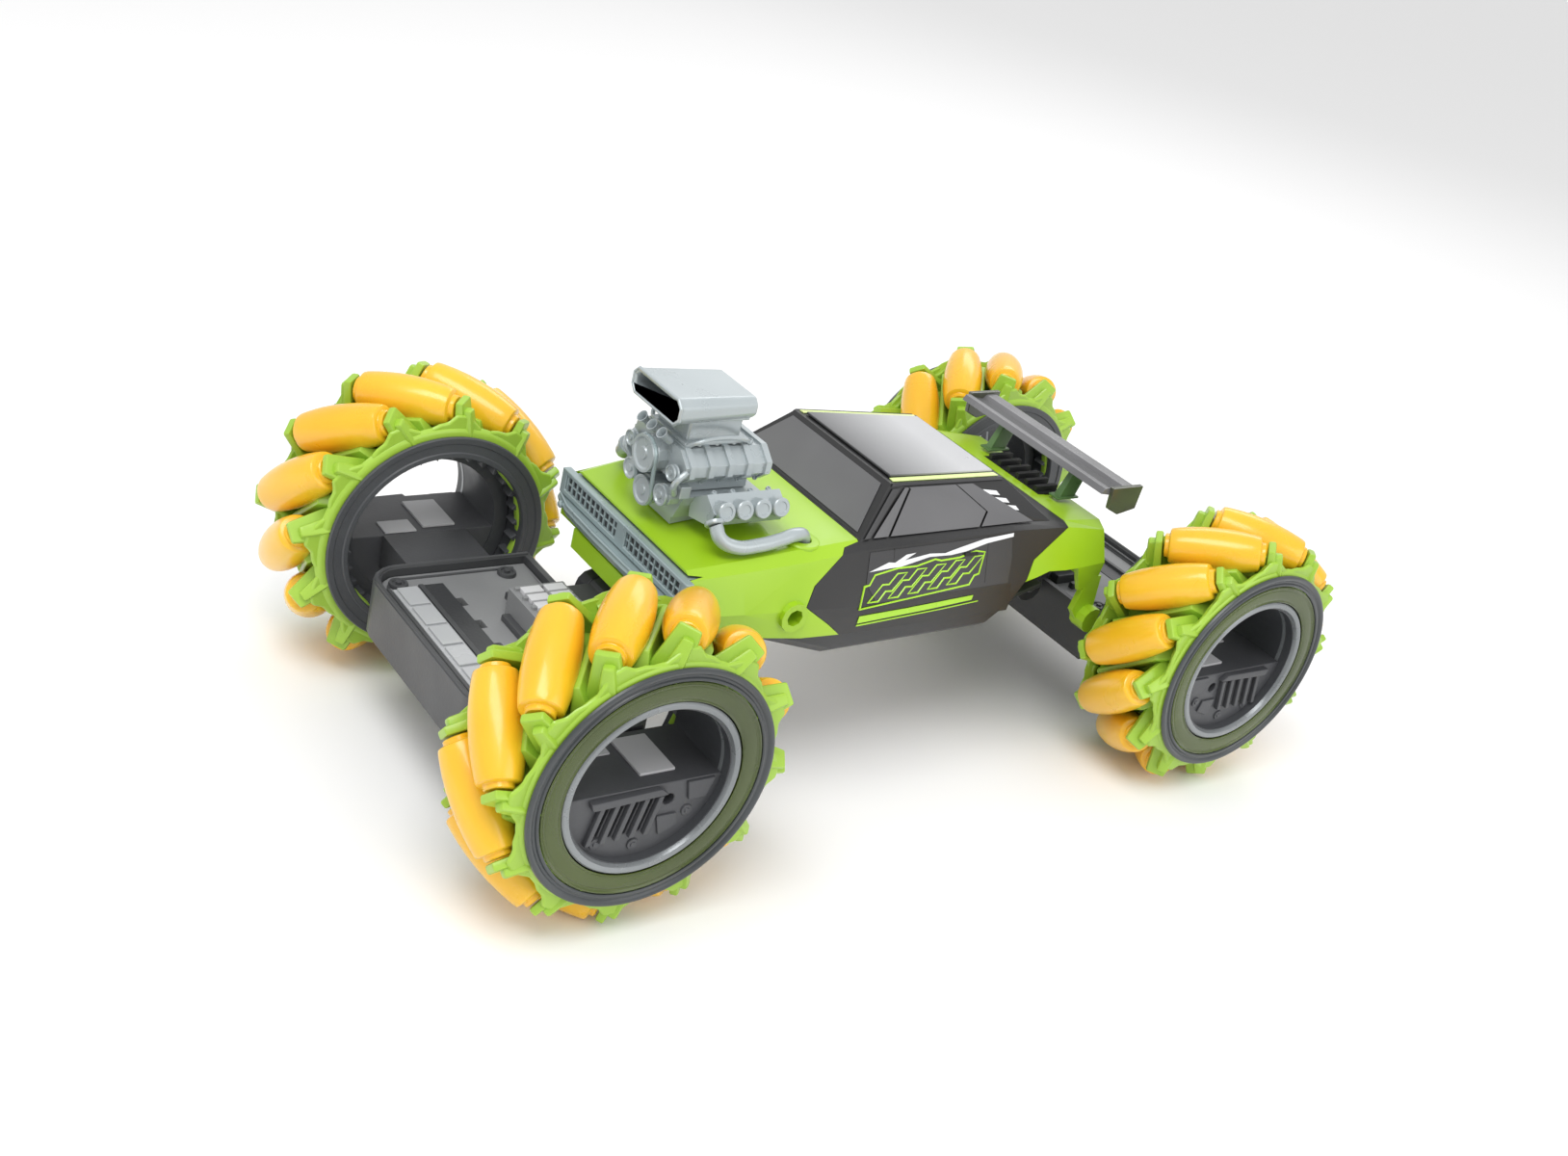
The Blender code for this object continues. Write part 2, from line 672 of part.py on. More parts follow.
def front_body():
    shell = cut(body_form(), body_form(BODY_WALL))
    shell = common(shell, region(FRONT_SPLIT, 130, GAP))
    chin = loft([[(BODY_FRONT - 3, y, z) for y, z in ((-26, 15), (26, 15), (26, 24), (-26, 24))],
                 [(BODY_FRONT + 5, y, z) for y, z in ((-24, 16), (24, 16), (24, 23), (-24, 23))]])
    bosses = []
    bores = []
    exhaust_holes = []
    for side in (-1, 1):
        boss_in, boss_out = side * (BODY_HALF_WIDTH - 9.5), side * (BODY_HALF_WIDTH + 1)
        bosses.append(rod(5.2, (BOSS_X, boss_in, BOSS_LEVEL), (BOSS_X, boss_out, BOSS_LEVEL), 12))
        bores.append(rod(3, (BOSS_X, boss_in - side, BOSS_LEVEL),
                         (BOSS_X, boss_out + side * 1.5, BOSS_LEVEL), 8))
        exhaust_holes.append(rod(PIPE_RADIUS + 1.3, (PIPE_END_X, side * PIPE_END_Y, 36),
                                 (PIPE_END_X, side * PIPE_END_Y, 50), 12))
    slot = block((BODY_FRONT - 12, BODY_FRONT + 20), (-GRILLE_HALF - 1, GRILLE_HALF + 1), (25, 38))
    shell = cut(shell, slot, gathered(exhaust_holes))
    return cut(union(shell, chin, gathered(bosses)), gathered(bores))


def rear_body():
    shell = cut(body_form(), body_form(BODY_WALL))
    shell = common(shell, region(REAR_SPLIT, -130, GAP))
    arch = extruded([(-49, 25), (-62, 28.5), (-77, 28), (-87, 10), (-60, 8), (-40, 8)],
                    -60, 60, "XZ")
    louvre = block((-BODY_REAR + 3, -BODY_REAR + 15), (-16, 16), (36, 60))
    shell = cut(shell, arch, louvre)
    posts = []
    for side in (-1, 1):
        y = sorted((side * (BODY_HALF_WIDTH - 4.9), side * (BODY_HALF_WIDTH - 2.5)))
        plate = extruded([(-BODY_REAR + 5, 22), (-BODY_REAR - 1.5, 22), (-BODY_REAR - 3, 6),
                          (-BODY_REAR + 2, 1), (-BODY_REAR + 8, 8)], *y, "XZ")
        boss = rod(5, (-BODY_REAR, side * (BODY_HALF_WIDTH - 5.5), 5),
                   (-BODY_REAR, side * (BODY_HALF_WIDTH + 1.5), 5), 12)
        posts.append(union(plate, boss))
    return union(shell, *posts)


def cabin():
    outside = union(body_form(), greenhouse())
    inside = union(body_form(BODY_WALL), greenhouse(BODY_WALL))
    shell = cut(outside, inside)
    shell = cut(shell, region(FRONT_SPLIT, 130, 0), region(REAR_SPLIT, -130, 0))
    return shell


ROOF_PANEL_THICKNESS = 0.9


def roof_panel():
    """The paler plate on the roof, just above the cabin's sloping top."""
    front, rear = side_scale(6.6), side_scale(-43.0)
    front_half, rear_half = across(24.6), across(21.8)
    front_level = ROOF_HEIGHT - 0.14
    rear_level = ROOF_HEIGHT - ROOF_FALL + 0.14

    def layer(lift):
        return [(front, -front_half, front_level + lift), (front, front_half, front_level + lift),
                (rear, rear_half, rear_level + lift), (rear, -rear_half, rear_level + lift)]
    return loft([layer(GAP), layer(GAP + ROOF_PANEL_THICKNESS)])


def front_grille():
    """Upper silver bar with two mesh recesses split by a divider."""
    face = BODY_FRONT + 3.2
    frame = block((BODY_FRONT + GAP, face), (-GRILLE_HALF - 4, GRILLE_HALF + 4), (28.6, 37.5))
    plug = block((BODY_FRONT - 8, BODY_FRONT + 1), (-GRILLE_HALF, GRILLE_HALF), (28.9, 37))
    recesses = [block((face - 1.1, face + 1), sorted((side * 3, side * (GRILLE_HALF + 1))),
                      (30.5, 36)) for side in (-1, 1)]
    return cut(union(frame, plug), gathered(recesses))


def bumper_bar():
    """The lower silver bar, proud in the middle, with a bracket through the front opening."""
    sections = []
    for drawn, out in ((-40.5, 0), (-30, 2.6), (-10, 3.4), (10, 3.4), (30, 2.6), (40.5, 0)):
        x, y = BODY_FRONT + 0.8, across(drawn)
        sections.append([(x, y, 24.3), (x + 1.5 + out, y, 24.3), (x + 2.4 + out, y, 26.5),
                         (x + 1.5 + out, y, 28.2), (x, y, 28.2)])
    bracket = block((BODY_FRONT - 8, BODY_FRONT + 2), (-20, 20), (25.3, 28))
    return union(loft(sections), bracket)


def rear_bumper():
    """The blue-grey corner piece that wraps the rear end."""
    inner = ((-38, 20), (38, 20), (40, 34), (-40, 34))
    outer = ((-35, 21), (35, 21), (37, 32), (-37, 32))
    return loft([[(-BODY_REAR - GAP, across(y), z) for y, z in inner],
                 [(-BODY_REAR - 4, across(y), z) for y, z in outer]])


def rear_louvre():
    """Black slatted vent let into the rear deck."""
    x = -BODY_REAR + 9
    base = block((x - 5.6, x + 5.6), (-15.6, 15.6), (40, 43))
    slats = [block((x - 5.4, x + 5.4), (y - 0.9, y + 0.9), (42, 45))
             for y in (-13, -7.8, -2.6, 2.6, 7.8, 13)]
    return union(base, gathered(slats))


SPOILER_HALF = 40.0
SPOILER_POST = 20.0


def spoiler():
    """Wing blade with end plates on two posts."""
    rear = -BODY_REAR
    profile = ((rear + 10, 55.6), (rear + 2, 54), (rear - 8, 55), (rear - 7.4, 56.3), (rear + 8, 57))
    blade = loft([[(x, y, z) for x, z in profile] for y in (-SPOILER_HALF, SPOILER_HALF)])
    plates = []
    posts = []
    for side in (-1, 1):
        plate_y = sorted((side * (SPOILER_HALF - 0.4), side * (SPOILER_HALF + 1.6)))
        plates.append(block((rear - 9, rear + 6), plate_y, (47, 57.6)))
        foot = [(rear + x, side * (SPOILER_POST + y), 43.8)
                for x, y in ((10, -1.6), (2, -1.6), (2, 1.6), (10, 1.6))]
        head = [(rear + x, side * (SPOILER_POST + y), 55.2)
                for x, y in ((6, -1.2), (-2, -1.2), (-2, 1.2), (6, 1.2))]
        posts.append(loft([foot, head]))
    return union(blade, gathered(plates), gathered(posts))


# ---------------------------------------------------------------- engine, measured from CHASSIS_Z

def engine_block():
    """Block with a valve cover and a row of round caps on each side, and the front drive."""
    core = loft([[(x, y, z) for y, z in ((-10, 44), (10, 44), (14, 53), (-14, 53))] for x in (50, 80)])
    foot = loft([[(x, y, z) for y, z in ((-8, low), (8, low), (8, 45), (-8, 45))]
                 for x, low in ((51, 43.7), (79, 40.6))])
    parts = []
    for side in (-1, 1):
        cover = loft([[(x, side * y, z) for y, z in ((13, 45.8), (24, 48), (26, 53), (20, 57), (12, 52))]
                      for x in (48, 76)])
        caps = [rod(3.1, (x, side * 20, 52), (x, side * 27.4, 54.4), 10)
                for x in (51.5, 58.5, 65.5, 72.5)]
        parts.append(union(cover, gathered(caps)))
    pulleys = [rod(4.6, (78, 0, 49.4), (84.5, 0, 49.4), 12),
               rod(3.4, (79, -9, 52), (84.5, -9, 52), 10),
               rod(3.4, (79, 9, 52), (84.5, 9, 52), 10)]
    return union(core, foot, *parts, *pulleys)


def blower_case():
    """Ribbed blower with its nose drive."""
    right = ((12, 57.4), (16, 61), (16, 64.5), (11, 68.6))
    outline = right + tuple((-y, z) for y, z in reversed(right))
    case = loft([[(x, y, z) for y, z in outline] for x in (50, 83)])
    ribs = []
    for x in (51, 58.2, 65.4, 72.6, 79.8):
        ribs.append(loft([[(at, y * 1.06, z + (0.8 if z > 62 else 0)) for y, z in outline]
                          for at in (x, x + 2)]))
    foot = block((54, 78), (-10, 10), (53.3, 58))
    nose = rod(6, (82, 0, 62.5), (87, 0, 62.5), 12)
    return union(case, *ribs, foot, nose)


def intake_scoop():
    """Flat scoop, open in front, on a short neck."""
    def ring(x, half, low, high):
        soft = 0.28 * (high - low)
        right = ((half - soft, low), (half, low + soft), (half, high - soft), (half - soft, high))
        return [(x, y, z) for y, z in right + tuple((-y, z) for y, z in reversed(right))]
    outer = loft([ring(58, 12.5, 78, 85.4), ring(88.5, 14.4, 77.6, 86.4)])
    inner = loft([ring(61, 10.8, 79.5, 83.9), ring(90, 12.7, 79.1, 84.8)])
    neck = loft([[(x, y, z) for x, y in ((60, -9), (80, -9), (80, 9), (60, 9))] for z in (69.8, 79)])
    return union(cut(outer, inner), neck)


def exhaust(side):
    """Header pipe: down from the valve cover, back along the hood and into it."""
    points = [(76, 28.6, 49.6), (75.4, 31, 46.8), (71.5, 33, 45), (63, 34, 45.4), (54, 33.5, 46.3),
              (47, 32.5, 46.9), (43.6, 31.6, 45.8), (42.4, 31, 42.4)]
    return tube([(x, side * y, z) for x, y, z in points], PIPE_RADIUS)


# ---------------------------------------------------------------- chassis and electrics

def tub_section(x, low, top, foot, wide):
    half = [(foot, low), (foot + (wide - foot) * 0.6, low + 3), (wide, low + 7), (wide, top)]
    return [(x, y, z) for y, z in half] + [(x, -y, z) for y, z in reversed(half)]


def chassis_tub():
    """Faceted tub with the pivot lugs of both axle modules."""
    wide = BODY_HALF_WIDTH - 3.6
    stations = ((74, 6, 14.6, 22, across(34)), (52, 6, 14.6, 26, across(38)),
                (28, 0, 14.6, 30, wide), (-41, 1, 14.6, 30, wide),
                (-60, 6, 14.6, 26, across(36)), (-76, 6, 14.6, 22, across(32)))
    tub = loft([tub_section(*station) for station in stations])
    pocket_outline = ((-27, 3.4), (27, 3.4), (33, 12), (33, 20), (-33, 20), (-33, 12))
    pocket = loft([[(x, y, z) for y, z in pocket_outline] for x in (26, -39)])
    lugs = []
    bores = []
    level = AXLE_Z - PIVOT_DROP - CHASSIS_Z
    for end in (-1, 1):
        for side in (-1, 1):
            y = sorted((side * (TONGUE_HALF + GAP), side * (TONGUE_HALF + 6)))
            reach = sorted((end * 70, end * PIVOT_X))
            lugs.append(block(reach, y, (level - 1.5, level + 6)))
            lugs.append(rod(6, (end * PIVOT_X, y[0], level), (end * PIVOT_X, y[1], level), 12))
            bores.append(rod(PIN_RADIUS + GAP, (end * PIVOT_X, y[0] - 1, level),
                             (end * PIVOT_X, y[1] + 1, level), 12))
    door = block((-33.3, 9.3), (-18.3, 18.3), (-5, 6))
    switch_slot = block((14, 22), (-2.6, 2.6), (-5, 6))
    tub = cut(tub, pocket, door, switch_slot)
    return cut(union(tub, *lugs), gathered(bores))


def battery_door():
    return block((-33, 9), (-18, 18), (1.2, 3))


def battery_pack():
    cells = [rod(6.8, (-32, y, 10.4), (8, y, 10.4), 12) for y in (-14.2, 0, 14.2)]
    return union(block((-31, 7), (-13, 13), (7, 14)), *cells)


def circuit_board():
    board = block((-36, 24), (-25, 25), (18, 19.6))
    chips = [block((-20, -10), (-6, 6), (19, 22)), block((4, 14), (-12, -4), (19, 23)),
             block((0, 12), (6, 16), (19, 21.5))]
    return union(board, gathered(chips))


def power_switch():
    knob = block((16, 19), (-1.6, 1.6), (-1.2, 4.6))
    body = block((14.6, 21.4), (-4.4, 4.4), (3.8, 6.4))
    return union(knob, body)


# ---------------------------------------------------------------- assembly

def place_wheel(label, side, end, parts, module):
    """One wheel with its fixed hub. The left-hand front wheel is the pattern."""
    centre = (end * WHEELBASE / 2, side * TRACK / 2, 0)
    spinning = new_empty("axis_wheel_" + label, centre, module)

    def handed(mesh):
        if side < 0:
            mesh = mirrored(mesh, 1)
        if end < 0:
            mesh = mirrored(mesh, 0)
        return mesh

    put_object("wheel_frame_" + label, handed(parts["frame"]), GREEN, spinning)
    put_object("rollers_" + label, handed(parts["rollers"]), YELLOW, spinning)
    put_object("outer_rim_" + label, handed(parts["outer"]), BLACK, spinning)
    put_object("window_ring_" + label, handed(parts["window"]), SMOKE, spinning)
    put_object("ring_gear_" + label, handed(parts["gear"]), DARK, spinning)
    put_object("hub_carrier_" + label, handed(parts["hub"]), DARK, module, centre)
    put_object("drive_pinion_" + label, handed(parts["pinion"]), GREY, module,
               (centre[0], centre[1], -PINION_DROP))
    put_object("drive_motor_" + label, handed(parts["motor"]), STEEL, module,
               (centre[0], centre[1], -MOTOR_DROP))


def build_car():
    car = new_empty("car", (0, 0, 0))
    body = new_empty("body", (0, 0, CHASSIS_Z), car)
    wheel = {"frame": wheel_frame(), "rollers": rollers(), "outer": outer_rim(),
             "window": window_ring(), "gear": ring_gear(), "hub": hub_carrier(),
             "pinion": pinion(), "motor": drive_motor()}
    case, cover = axle_case(), axle_cover()
    for name, end in (("front", 1), ("rear", -1)):
        pivot_place = (end * PIVOT_X, 0, AXLE_Z - PIVOT_DROP)
        pivot = new_empty("axis_" + name + "_module", pivot_place, car)
        module = new_empty(name + "_module", (-pivot_place[0], 0, PIVOT_DROP), pivot)
        facing = (lambda mesh: mesh) if end > 0 else (lambda mesh: mirrored(mesh, 0))
        put_object(name + "_axle_case", facing(case), DARK, module)
        put_object(name + "_axle_cover", facing(cover), DARK, module)
        if end > 0:
            put_object("front_light_bar", light_bar(), GREY, module)
        put_object(name + "_pivot_pin", pivot_pin(), STEEL, body,
                   (pivot_place[0], 0, pivot_place[2] - CHASSIS_Z))
        for letter, side in (("l", 1), ("r", -1)):
            place_wheel(name[0] + letter, side, end, wheel, module)
    put_object("chassis_tub", chassis_tub(), DARK, body)
    put_object("battery_door", battery_door(), DARK, body)
    put_object("battery_pack", battery_pack(), WRAP, body)
    put_object("circuit_board", circuit_board(), BOARD, body)
    put_object("power_switch", power_switch(), BLACK, body)
    put_object("front_body", front_body(), GREEN, body)
    put_object("rear_body", rear_body(), GREEN, body)
    put_object("cabin", cabin(), BLACK, body)
    put_object("roof_panel", roof_panel(), ROOF_GREY, body)
    put_object("front_grille", front_grille(), SILVER, body)
    put_object("bumper_bar", bumper_bar(), SILVER, body)
    put_object("rear_bumper", rear_bumper(), GREY, body)
    put_object("rear_louvre", rear_louvre(), BLACK, body)
    put_object("spoiler", spoiler(), BLACK, body)
    put_object("engine_block", engine_block(), SILVER, body)
    put_object("blower_case", blower_case(), SILVER, body)
    put_object("intake_scoop", intake_scoop(), SILVER, body)
    put_object("exhaust_left", exhaust(1), SILVER, body)
    put_object("exhaust_right", exhaust(-1), SILVER, body)


build_car()
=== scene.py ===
# %% [markdown]
# # A stunt car on hubless mecanum wheels
#
# This lesson builds the looks of a toy stunt car round a finished mechanical frame. The frame
# gives every position, so each new piece is modelled where the frame says and rides on the
# frame's body of the same name. The pieces are turned, extruded and bevelled moulded plastic, so
# bmesh operators make all of them: a spin for what is round, an extrusion and a bevel for the
# rest. Sizes here are in millimetres, and the last step of every piece turns them into metres.

# %% Load the frame
import json
import math

import bmesh
import bpy
from mathutils import Matrix, Vector

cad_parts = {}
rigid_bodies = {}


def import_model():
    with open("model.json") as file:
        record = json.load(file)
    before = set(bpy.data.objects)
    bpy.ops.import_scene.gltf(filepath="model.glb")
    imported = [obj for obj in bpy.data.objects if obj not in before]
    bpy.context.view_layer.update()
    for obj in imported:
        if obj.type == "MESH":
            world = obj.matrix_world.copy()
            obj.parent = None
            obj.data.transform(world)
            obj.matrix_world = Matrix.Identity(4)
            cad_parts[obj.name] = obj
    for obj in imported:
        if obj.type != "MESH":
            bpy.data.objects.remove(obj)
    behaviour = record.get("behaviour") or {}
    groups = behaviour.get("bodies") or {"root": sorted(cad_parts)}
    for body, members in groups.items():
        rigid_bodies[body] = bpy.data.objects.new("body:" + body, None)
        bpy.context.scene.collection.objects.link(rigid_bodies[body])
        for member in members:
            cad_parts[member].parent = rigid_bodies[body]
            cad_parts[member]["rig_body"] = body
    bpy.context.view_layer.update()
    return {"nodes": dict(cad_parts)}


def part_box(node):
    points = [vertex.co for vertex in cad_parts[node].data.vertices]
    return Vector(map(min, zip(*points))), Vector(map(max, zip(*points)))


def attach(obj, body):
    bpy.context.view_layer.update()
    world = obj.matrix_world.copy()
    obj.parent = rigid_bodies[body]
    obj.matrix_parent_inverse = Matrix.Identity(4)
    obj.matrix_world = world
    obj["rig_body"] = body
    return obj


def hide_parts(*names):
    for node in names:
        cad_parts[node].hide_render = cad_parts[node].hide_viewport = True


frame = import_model()
nodes = frame["nodes"]
MM = 0.001

# %% [markdown]
# The axle height and the base of the body are read from the frame. Every wheel is round about
# the middle of its outer rim, and the battery door lies 1.2 mm above the base of the body.

# %% Places read from the frame
CORNERS = ("fl", "fr", "rl", "rr")
door_rise = 1.2


def middle(node):
    """The centre of a frame node's box, in millimetres."""
    low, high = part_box(node)
    return (low + high) / 2 / MM


axle_height = middle("outer_rim_fl").z
body_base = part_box("battery_door")[0].z / MM - door_rise
wheel_centre = {c: Vector((middle("outer_rim_" + c).x, middle("wheel_frame_" + c).y, axle_height))
                for c in CORNERS}
print("axle height", round(axle_height, 2), "body base", round(body_base, 2))

# %% [markdown]
# ## Helpers for modelling
#
# A turned piece is a profile swept round an axis. `bmesh.ops.spin` does that with a full turn
# and `use_merge`, and the normals are recalculated because a spin may turn a shape inside out.
# A flat piece is an outline raised by its thickness. Real mouldings have no knife edges, so
# slabs and blocks end with a small bevel.

# %% Turned and extruded shapes
def turned(profile, steps=72, closed=True):
    """A profile of (radius, height) points, turned about the Z axis."""
    bm = bmesh.new()
    points = [bm.verts.new((radius, 0, height)) for radius, height in profile]
    for first, second in zip(points, points[1:]):
        bm.edges.new((first, second))
    if closed:
        bm.edges.new((points[-1], points[0]))
    bmesh.ops.spin(bm, geom=bm.verts[:] + bm.edges[:], cent=(0, 0, 0), axis=(0, 0, 1),
                   angle=math.tau, steps=steps, use_merge=True)
    bmesh.ops.remove_doubles(bm, verts=bm.verts, dist=0.0005)
    bmesh.ops.recalc_face_normals(bm, faces=bm.faces)
    return bm


def bevelled(bm, edges, width, segments):
    """The shape with some of its edges rounded."""
    bmesh.ops.bevel(bm, geom=edges, offset=width, segments=segments, profile=0.5,
                    affect="EDGES", material=-1, clamp_overlap=True)
    return bm


def softened(bm, width, segments=2, angle=30):
    """The shape with every edge rounded that is sharper than an angle in degrees."""
    if not width:
        return bm
    sharp = [edge for edge in bm.edges
             if len(edge.link_faces) == 2 and edge.calc_face_angle(0) > math.radians(angle)]
    return bevelled(bm, sharp, width, segments)


def raised(bm, faces, height):
    """The shape with flat faces pulled up along Z into a solid."""
    made = bmesh.ops.extrude_face_region(bm, geom=faces)["geom"]
    top = [part for part in made if isinstance(part, bmesh.types.BMVert)]
    bmesh.ops.translate(bm, vec=(0, 0, height), verts=top)
    bmesh.ops.recalc_face_normals(bm, faces=bm.faces)
    return bm


def slab(outline, thickness, bevel=0.3, segments=2):
    """A flat outline in X and Y, raised along Z by a thickness."""
    bm = bmesh.new()
    face = bm.faces.new([bm.verts.new((x, y, 0)) for x, y in outline])
    return softened(raised(bm, [face], thickness), bevel, segments)


def brick(low, high, bevel=0.3, segments=2):
    """A bevelled block between two corners."""
    bm = bmesh.new()
    bmesh.ops.create_cube(bm, size=1)
    low, high = Vector(low), Vector(high)
    bmesh.ops.scale(bm, vec=high - low, verts=bm.verts)
    bmesh.ops.translate(bm, vec=(low + high) / 2, verts=bm.verts)
    return softened(bm, bevel, segments)


def side_brick(side, low, high, bevel=0.3, segments=2):
    """A block drawn on the left side, where side is 1, or its twin on the right, where it is -1."""
    inner, outer = sorted((side * low[1], side * high[1]))
    return brick((low[0], inner, low[2]), (high[0], outer, high[2]), bevel, segments)


print("turned, raised and block shapes ready")

# %% [markdown]
# Shapes are drawn flat or upright at the origin, which is the easy way to think of them, and
# then a matrix takes each to its place. A mirror matrix turns a shape inside out, so `placed`
# turns its faces back.

# %% Placing and joining shapes
def placed(bm, matrix):
    """The shape moved by a matrix, and turned right side out if the matrix mirrors it."""
    bmesh.ops.transform(bm, matrix=matrix, verts=bm.verts)
    if matrix.determinant() < 0:
        bmesh.ops.reverse_faces(bm, faces=bm.faces)
    return bm


def upright(bm, y, z=0):
    """A slab drawn in X and Z, stood up so that it runs towards +Y from y, raised by z."""
    return placed(bm, Matrix(((1, 0, 0, 0), (0, 0, 1, y), (0, 1, 0, z), (0, 0, 0, 1))))


def aimed(place, direction):
    """A matrix that stands a shape along Z at a place, pointing in a direction."""
    turn = Vector(direction).to_track_quat("Z", "Y").to_matrix().to_4x4()
    return Matrix.Translation(place) @ turn


def level(*point):
    """A point given with its height above the base of the body."""
    return (point[0], point[1], point[2] + body_base)


def together(shapes):
    """Several shapes in one mesh. Each shape is used up."""
    whole = bmesh.new()
    for shape in shapes:
        mesh = bpy.data.meshes.new("part")
        shape.to_mesh(mesh)
        shape.free()
        whole.from_mesh(mesh)
        bpy.data.meshes.remove(mesh)
    return whole


def repeated(make, matrices):
    """One shape placed several times."""
    return together([placed(make(), matrix) for matrix in matrices])


print("placing helpers ready")

# %% [markdown]
# `add_piece` is the last step of every piece. It scales the mesh to metres, marks the edges
# that stay sharp, gives it its finish, and ties it to its body. Weighted normals keep the large
# flat faces flat while the bevels catch the light.

# %% Turning a shape into a piece
def add_piece(name, bm, material, body, replaces=(), sharp=32, weighted=True):
    """A finished piece that rides on a body and may stand for frame nodes."""
    mesh = bpy.data.meshes.new(name)
    bm.to_mesh(mesh)
    bm.free()
    mesh.transform(Matrix.Scale(MM, 4))
    mesh.materials.append(material)
    mesh.shade_smooth()
    mesh.set_sharp_from_angle(angle=math.radians(sharp))
    piece = bpy.data.objects.new(name, mesh)
    bpy.context.scene.collection.objects.link(piece)
    if weighted:
        piece.modifiers.new("Normals", "WEIGHTED_NORMAL").keep_sharp = True
    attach(piece, body)
    if replaces:
        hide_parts(*replaces)
    return piece


print("pieces can be added")

# %% [markdown]
# Many of the frame's own shapes are right and only have hard corners. A copy of such a node is
# merged, its flat areas are made whole, and a live Bevel modifier rounds it. The few nodes that
# are hardly seen keep their shape and only get a finish.

# %% Rounding the frame's own shapes
def frame_copy(node, dissolve=1.0):
    """A merged copy of a frame node, in millimetres, with its flat areas made whole."""
    bm = bmesh.new()
    bm.from_mesh(nodes[node].data)
    bmesh.ops.scale(bm, vec=(1 / MM,) * 3, verts=bm.verts)
    bmesh.ops.remove_doubles(bm, verts=bm.verts, dist=0.005)
    if dissolve:
        bmesh.ops.dissolve_limit(bm, angle_limit=math.radians(dissolve), verts=bm.verts,
                                 edges=bm.edges)
    return bm


def rounded_shell(node, bm, material, bevel, segments, sharp, angle):
    """A shape that stands for a frame node, with a live bevel on its sharp edges."""
    piece = add_piece(node + "_shell", bm, material, nodes[node]["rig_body"], (node,), sharp,
                      weighted=False)
    rounding = piece.modifiers.new("Rounding", "BEVEL")
    rounding.width = bevel * MM
    rounding.segments = segments
    rounding.limit_method = "ANGLE"
    rounding.angle_limit = math.radians(angle)
    piece.modifiers.new("Normals", "WEIGHTED_NORMAL").keep_sharp = True
    return piece


def refined(node, material, bevel, segments, dissolve=1.0):
    """A frame node with rounded edges, which stands for the plain one."""
    return rounded_shell(node, frame_copy(node, dissolve), material, bevel, segments,
                         sharp=32, angle=25)


def painted(node, material):
    """A frame node that keeps its shape and gets a finish."""
    nodes[node].data.materials.clear()
    nodes[node].data.materials.append(material)


print("frame nodes can be rounded or painted")

# %% [markdown]
# ## Finishes
#
# Nearly everything is moulded ABS plastic. Its colour drifts a little through the wall, its gloss
# is broken by handling, and its skin has a fine ripple. `moulded` builds that from three noise
# textures on object coordinates: one tints the colour, one moves the roughness, one is a bump.

# %% Shader helpers
def linear(red, green, blue):
    """A screen colour from 0 to 255 as linear light."""
    made = []
    for value in (red, green, blue):
        part = value / 255
        made.append(part / 12.92 if part <= 0.04045 else ((part + 0.055) / 1.055) ** 2.4)
    return (*made, 1)


def add_node(tree, kind, **inputs):
    """A shader node with some of its inputs set."""
    node = tree.nodes.new(kind)
    for name, value in inputs.items():
        node.inputs[name.replace("_", " ")].default_value = value
    return node


def noise(tree, coordinates, scale, detail=3):
    """Soft noise from 0 to 1 over the object."""
    node = add_node(tree, "ShaderNodeTexNoise", Scale=scale, Detail=detail)
    tree.links.new(coordinates, node.inputs["Vector"])
    return node.outputs["Fac"]


def between(tree, factor, low, high):
    """The middle of a noise's values, stretched over a range."""
    node = add_node(tree, "ShaderNodeMapRange", From_Min=0.3, From_Max=0.7, To_Min=low,
                    To_Max=high)
    tree.links.new(factor, node.inputs["Value"])
    return node.outputs["Result"]


def mixed(tree, factor, first, second):
    """One colour blended into another."""
    node = tree.nodes.new("ShaderNodeMix")
    node.data_type = "RGBA"
    tree.links.new(factor, node.inputs["Factor"])
    for name, colour in (("A", first), ("B", second)):
        socket = [item for item in node.inputs if item.name == name and item.type == "RGBA"][0]
        socket.default_value = colour
    return [item for item in node.outputs if item.type == "RGBA"][0]


print("shader helpers ready")

# %% [markdown]
# `moulded` takes a dark and a light colour that the plastic drifts between, and a range for its
# roughness. The ripple is the strength of the bump and the grain is how fine it is. Anything
# else, such as a clear coat, goes straight to the Principled shader.

# %% Moulded plastic
def moulded(name, dark, light, rough, ripple, grain=900, **sockets):
    """Moulded plastic with drifting colour, uneven gloss and a fine ripple."""
    made = bpy.data.materials.new(name)
    made.use_nodes = True
    tree = made.node_tree
    shader = tree.nodes["Principled BSDF"]
    place = tree.nodes.new("ShaderNodeTexCoord").outputs["Object"]
    tint = between(tree, noise(tree, place, 14), 0, 1)
    colour = mixed(tree, tint, linear(*dark), linear(*light))
    tree.links.new(colour, shader.inputs["Base Color"])
    gloss = between(tree, noise(tree, place, 55, 5), *rough)
    tree.links.new(gloss, shader.inputs["Roughness"])
    skin = add_node(tree, "ShaderNodeBump", Strength=ripple, Distance=0.0004)
    tree.links.new(noise(tree, place, grain, 2), skin.inputs["Height"])
    tree.links.new(skin.outputs["Normal"], shader.inputs["Normal"])
    for socket, value in sockets.items():
        shader.inputs[socket.replace("_", " ")].default_value = value
    return made


